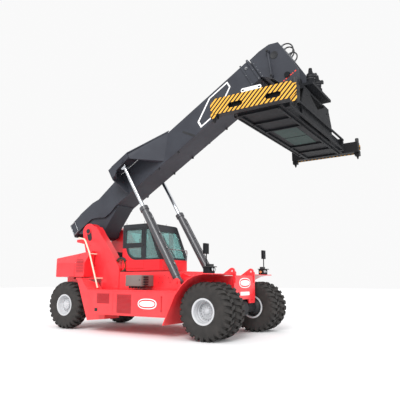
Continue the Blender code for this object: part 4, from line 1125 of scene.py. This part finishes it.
# %% Pipes along the top, roller and grating
TOP_PIPE_ROUTE = [(-0.95, 1.10), (-0.35, 1.16), (0.3, 1.17), (0.65, 1.10), (1.90, 1.235), (4.0, 1.22),
                  (7.9, 1.205)]
TAIL_LOOP = [(-1.06, 0.56), (-1.06, 1.00), (-0.80, 1.02), (-0.80, 0.60), (-1.06, 0.56)]
shape = bmesh.new()
for y in (-0.40, -0.32):
    add_pipe(shape, [on_boom(u, v, y) for u, v in TOP_PIPE_ROUTE], 0.02)
make("boom_top_pipes", shape, "boom", IRON)
shape = bmesh.new()
add_rod(shape, on_boom(-1.06, 0.53, -0.47), on_boom(-1.06, 0.53, 0.47), 0.06, 24)
for y in (-0.44, 0.40):
    add_block(shape, on_boom(-1.06, 0.56, y) - Vector((0.06, 0, 0.05)),
              on_boom(-1.06, 0.56, y + 0.04) + Vector((0.06, 0, 0.05)))
make("boom_tail_roller", shape, "boom", IRON)
shape = bmesh.new()
for up in (0.62, 0.74, 0.86, 0.98):
    add_rod(shape, on_boom(-1.115, up, -0.42), on_boom(-1.115, up, 0.42), 0.018, 10)
for y in (-0.47, 0.43):
    upright = ((-1.125, 0.54), (-1.085, 0.54), (-1.085, 1.045), (-1.125, 1.045))
    add_sheet(shape, [on_boom(u, v, y) for u, v in upright], 0.04 * Y)
for side in SIDES.values():
    for first, second in zip(TAIL_LOOP, TAIL_LOOP[1:]):
        add_rod(shape, on_boom(*first, side * 0.508), on_boom(*second, side * 0.508), 0.014, 8)
make("boom_tail_grating", shape, "boom", ZINC, 0.003)
print("top pipes run to", TOP_PIPE_ROUTE[-1][0], "m along the boom")

# %% [markdown]
# ## Boom head
# The head slides out of the boom. It has a round cap over its pin, a column of bolts, a row of small
# red marks, and a gland at each end of the three hoses. A gland is the short metal sleeve that clamps
# a hose, and without it the hoses would seem to grow out of the paint.
# %% Boom head
PIN_CAP = [(0, 0.004), (0.10, 0.004), (0.115, 0.012), (0.125, 0.012), (0.125, 0.0), (0, 0.0)]
HOSE_MIDDLE = 0.61  # square to the beam
HOSE_BOWS = [(-0.30, 0.235), (-0.12, 0.20), (0.22, 0.17)]  # sideways place, and half the span
for name, side in SIDES.items():
    shape = bmesh.new()
    add_turned(shape, PIN_CAP, on_boom(9.02, 0.66, side * 0.49), side * Y, 32)
    for centre in ((8.93, 0.88), (8.60, 0.10)):
        add_nut(shape, on_boom(*centre, side * 0.60), side * Y, 0.05)
    make(f"head_cap_{name}", shape, "boom_extension", IRON)
    shape = bmesh.new()
    for dash in range(6):
        start = on_boom(8.79 + 0.085 * dash, -0.31, side * 0.4905)
        reach = (0.04 + 0.02 * (dash % 2)) * BOOM_ALONG
        add_sheet(shape, [start, start + reach, start + reach + 0.035 * BOOM_UP, start + 0.035 * BOOM_UP],
                  side * 0.003 * Y)
    make(f"head_marks_{name}", shape, "boom_extension", SIGNAL_RED)
    shape = bmesh.new()
    for up in (0.36, 0.5, 0.64, 0.78, 0.92, 1.06):
        add_nut(shape, on_boom(8.36, up, side * 0.49), side * Y, 0.018)
    make(f"head_bolts_{name}", shape, "boom_extension", ZINC)
shape = bmesh.new()
for y, reach in HOSE_BOWS:
    for up in (HOSE_MIDDLE + reach, HOSE_MIDDLE - reach):
        add_rod(shape, on_boom(9.335, up, y), on_boom(9.40, up, y), 0.032, 12)
make("head_hose_glands", shape, "boom_extension", ZINC)
print("head dressed, with", 2 * len(HOSE_BOWS), "hose glands")

# %% [markdown]
# ## Lift cylinders
# The barrels have a bolted collar with a wiper ring, and the oil reaches them through a pipe that is
# clipped along the side. The cylinder leans with the boom, so each place is measured from its foot pin
# along its own axis, which the joints give, and the fittings stay on it at any angle.
# %% Collar bolts, wiper ring and oil pipe
COLLAR = 2.925  # metres from the foot pin
for name in SIDES:
    foot = Vector(JOINTS[f"lift_cylinder_{name}_swing"]["pos_m"])
    along = Vector(JOINTS[f"lift_piston_{name}_stroke"]["axis"]).normalized()
    square = along.cross(Y).normalized()
    shape = bmesh.new()
    for point in circle(foot + COLLAR * along, square, Y, 0.128, 12):
        add_nut(shape, point, along, 0.018)
    wiper = [(0.078, 0), (0.10, 0), (0.098, 0.02), (0.08, 0.026)]
    add_turned(shape, wiper, foot + 2.93 * along, along, 32, closed=True)
    add_pipe(shape, [foot + 0.35 * along - 0.15 * square, foot + 0.45 * along - 0.165 * square,
                     foot + 2.55 * along - 0.165 * square, foot + 2.65 * along - 0.14 * square], 0.017)
    for share in (0.6, 1.2, 1.8, 2.4):
        middle = foot + share * along - 0.15 * square
        add_rod(shape, middle - 0.035 * along, middle + 0.035 * along, 0.034, 10)
    make(f"lift_cylinder_fittings_{name}", shape, f"lift_cylinder_{name}", CYLINDER_GREY)
print("cylinders dressed, collars", COLLAR, "m from their foot pins")

# %% [markdown]
# ## Spreader fittings
# The yoke hangs from a bolted slewing ring with two drive motors. Under the spreader's frame are ribs
# and cover plates, a lock actuator stands at each of its four corners, and a blank plate stands over
# the striped end. They are many small repeats, so loops over places and sides make them.
# %% Slewing ring, motors and yoke bolts
RING_HEIGHT = 7.324
shape = bmesh.new()
for point in circle(Vector((HEAD_PIN.x, 0, RING_HEIGHT)), X, Y, 0.46, 28):
    add_nut(shape, point, Z, 0.02)
for side in SIDES.values():
    motor = Vector((HEAD_PIN.x + 0.66, side * 0.30, 7.32))
    for point in circle(motor, X, Y, 0.135, 8):
        add_nut(shape, point + 0.2 * Z, Z, 0.014)
    for low, high in ((0.30, 0.33), (0.38, 0.41)):
        fin = [(0.05, low), (0.125, low), (0.125, high), (0.05, high)]
        add_turned(shape, fin, motor, Z, 24, closed=True)
    add_block(shape, motor + Vector((0.04, -0.05, 0.36)), motor + Vector((0.19, 0.05, 0.46)))
make("slew_motor_fittings", shape, "spreader_hanger", IRON, 0.003)
shape = bmesh.new()
for end in (-1, 1):
    face = HEAD_PIN.x + end * 0.735
    for y, z in ((-1.2, 6.2), (-1.2, 6.4), (1.2, 6.2), (1.2, 6.4), (-0.9, 6.9), (0.9, 6.9)):
        add_nut(shape, Vector((face, y, z)), end * X, 0.03)
make("yoke_bolts", shape, "spreader_yoke", IRON)
print("slewing ring at", RING_HEIGHT, "m")

# %% Ribs and cover plates under the spreader
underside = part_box("spreader_frame")[0].z
shape = bmesh.new()
for y in (-0.45, 0.45):
    add_block(shape, Vector((HEAD_PIN.x - 0.36, y - 0.42, underside - 0.008)),
              Vector((HEAD_PIN.x + 0.36, y + 0.42, underside + 0.002)))
make("spreader_cover_plates", shape, "spreader_body", UNDERSIDE_GREEN, 0.003)
shape = bmesh.new()
for y in (-2.6, -1.75, -0.98, 0.98, 1.75, 2.6):
    add_block(shape, Vector((HEAD_PIN.x - 0.60, y - 0.03, underside - 0.05)),
              Vector((HEAD_PIN.x + 0.60, y + 0.03, underside + 0.002)))
for x in (-0.56, 0.56):
    add_block(shape, Vector((HEAD_PIN.x + x - 0.03, -2.6, underside - 0.05)),
              Vector((HEAD_PIN.x + x + 0.03, 2.6, underside + 0.002)))
make("spreader_underside_ribs", shape, "spreader_body", BLACK, 0.004)
print("underside dressed at", round(underside, 3), "m")

# %% Lock actuators and the blank end plate
LOCK_FROM_MIDDLE = 2.926
LOCK_BODY = [(0.0, 0.16), (0.05, 0.16), (0.062, 0.14), (0.062, 0.0), (0, 0)]
for name, side in SIDES.items():
    shape = bmesh.new()
    for end in (-1, 1):
        x = HEAD_PIN.x + end * 1.13
        add_turned(shape, LOCK_BODY, Vector((x, side * LOCK_FROM_MIDDLE, 6.40)), Z, 24)
        add_nut(shape, Vector((x + end * 0.085, side * 2.87, 6.2)), end * X, 0.03)
    make(f"lock_actuators_{name}", shape, f"spreader_telescope_{name}", IRON)
shape = bmesh.new()
plate = Vector((HEAD_PIN.x, -3.02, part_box("spreader_arm_right")[1].z + 0.05))
add_rounded(shape, plate, X, Z, 0.29, 0.055, 0.05, 0.012 * Y)
for x in (-0.2, 0.2):
    add_rod(shape, plate + Vector((x, 0.03, -0.10)), plate + Vector((x, 0.03, 0.02)), 0.015, 10)
make("spreader_blank_plate", shape, "spreader_telescope_right", PLATE_WHITE, 0.002)
shape = bmesh.new()
# The slots are not cut: two dark ovals on the plate paint the shade inside them.
for x in (-0.23, 0.23):
    add_oval(shape, plate + x * X, X, Z, 0.035, 0.02, -0.004 * Y)
make("spreader_blank_plate_slot_shade", shape, "spreader_telescope_right", IRON)
print("locks", 2 * LOCK_FROM_MIDDLE, "m apart")
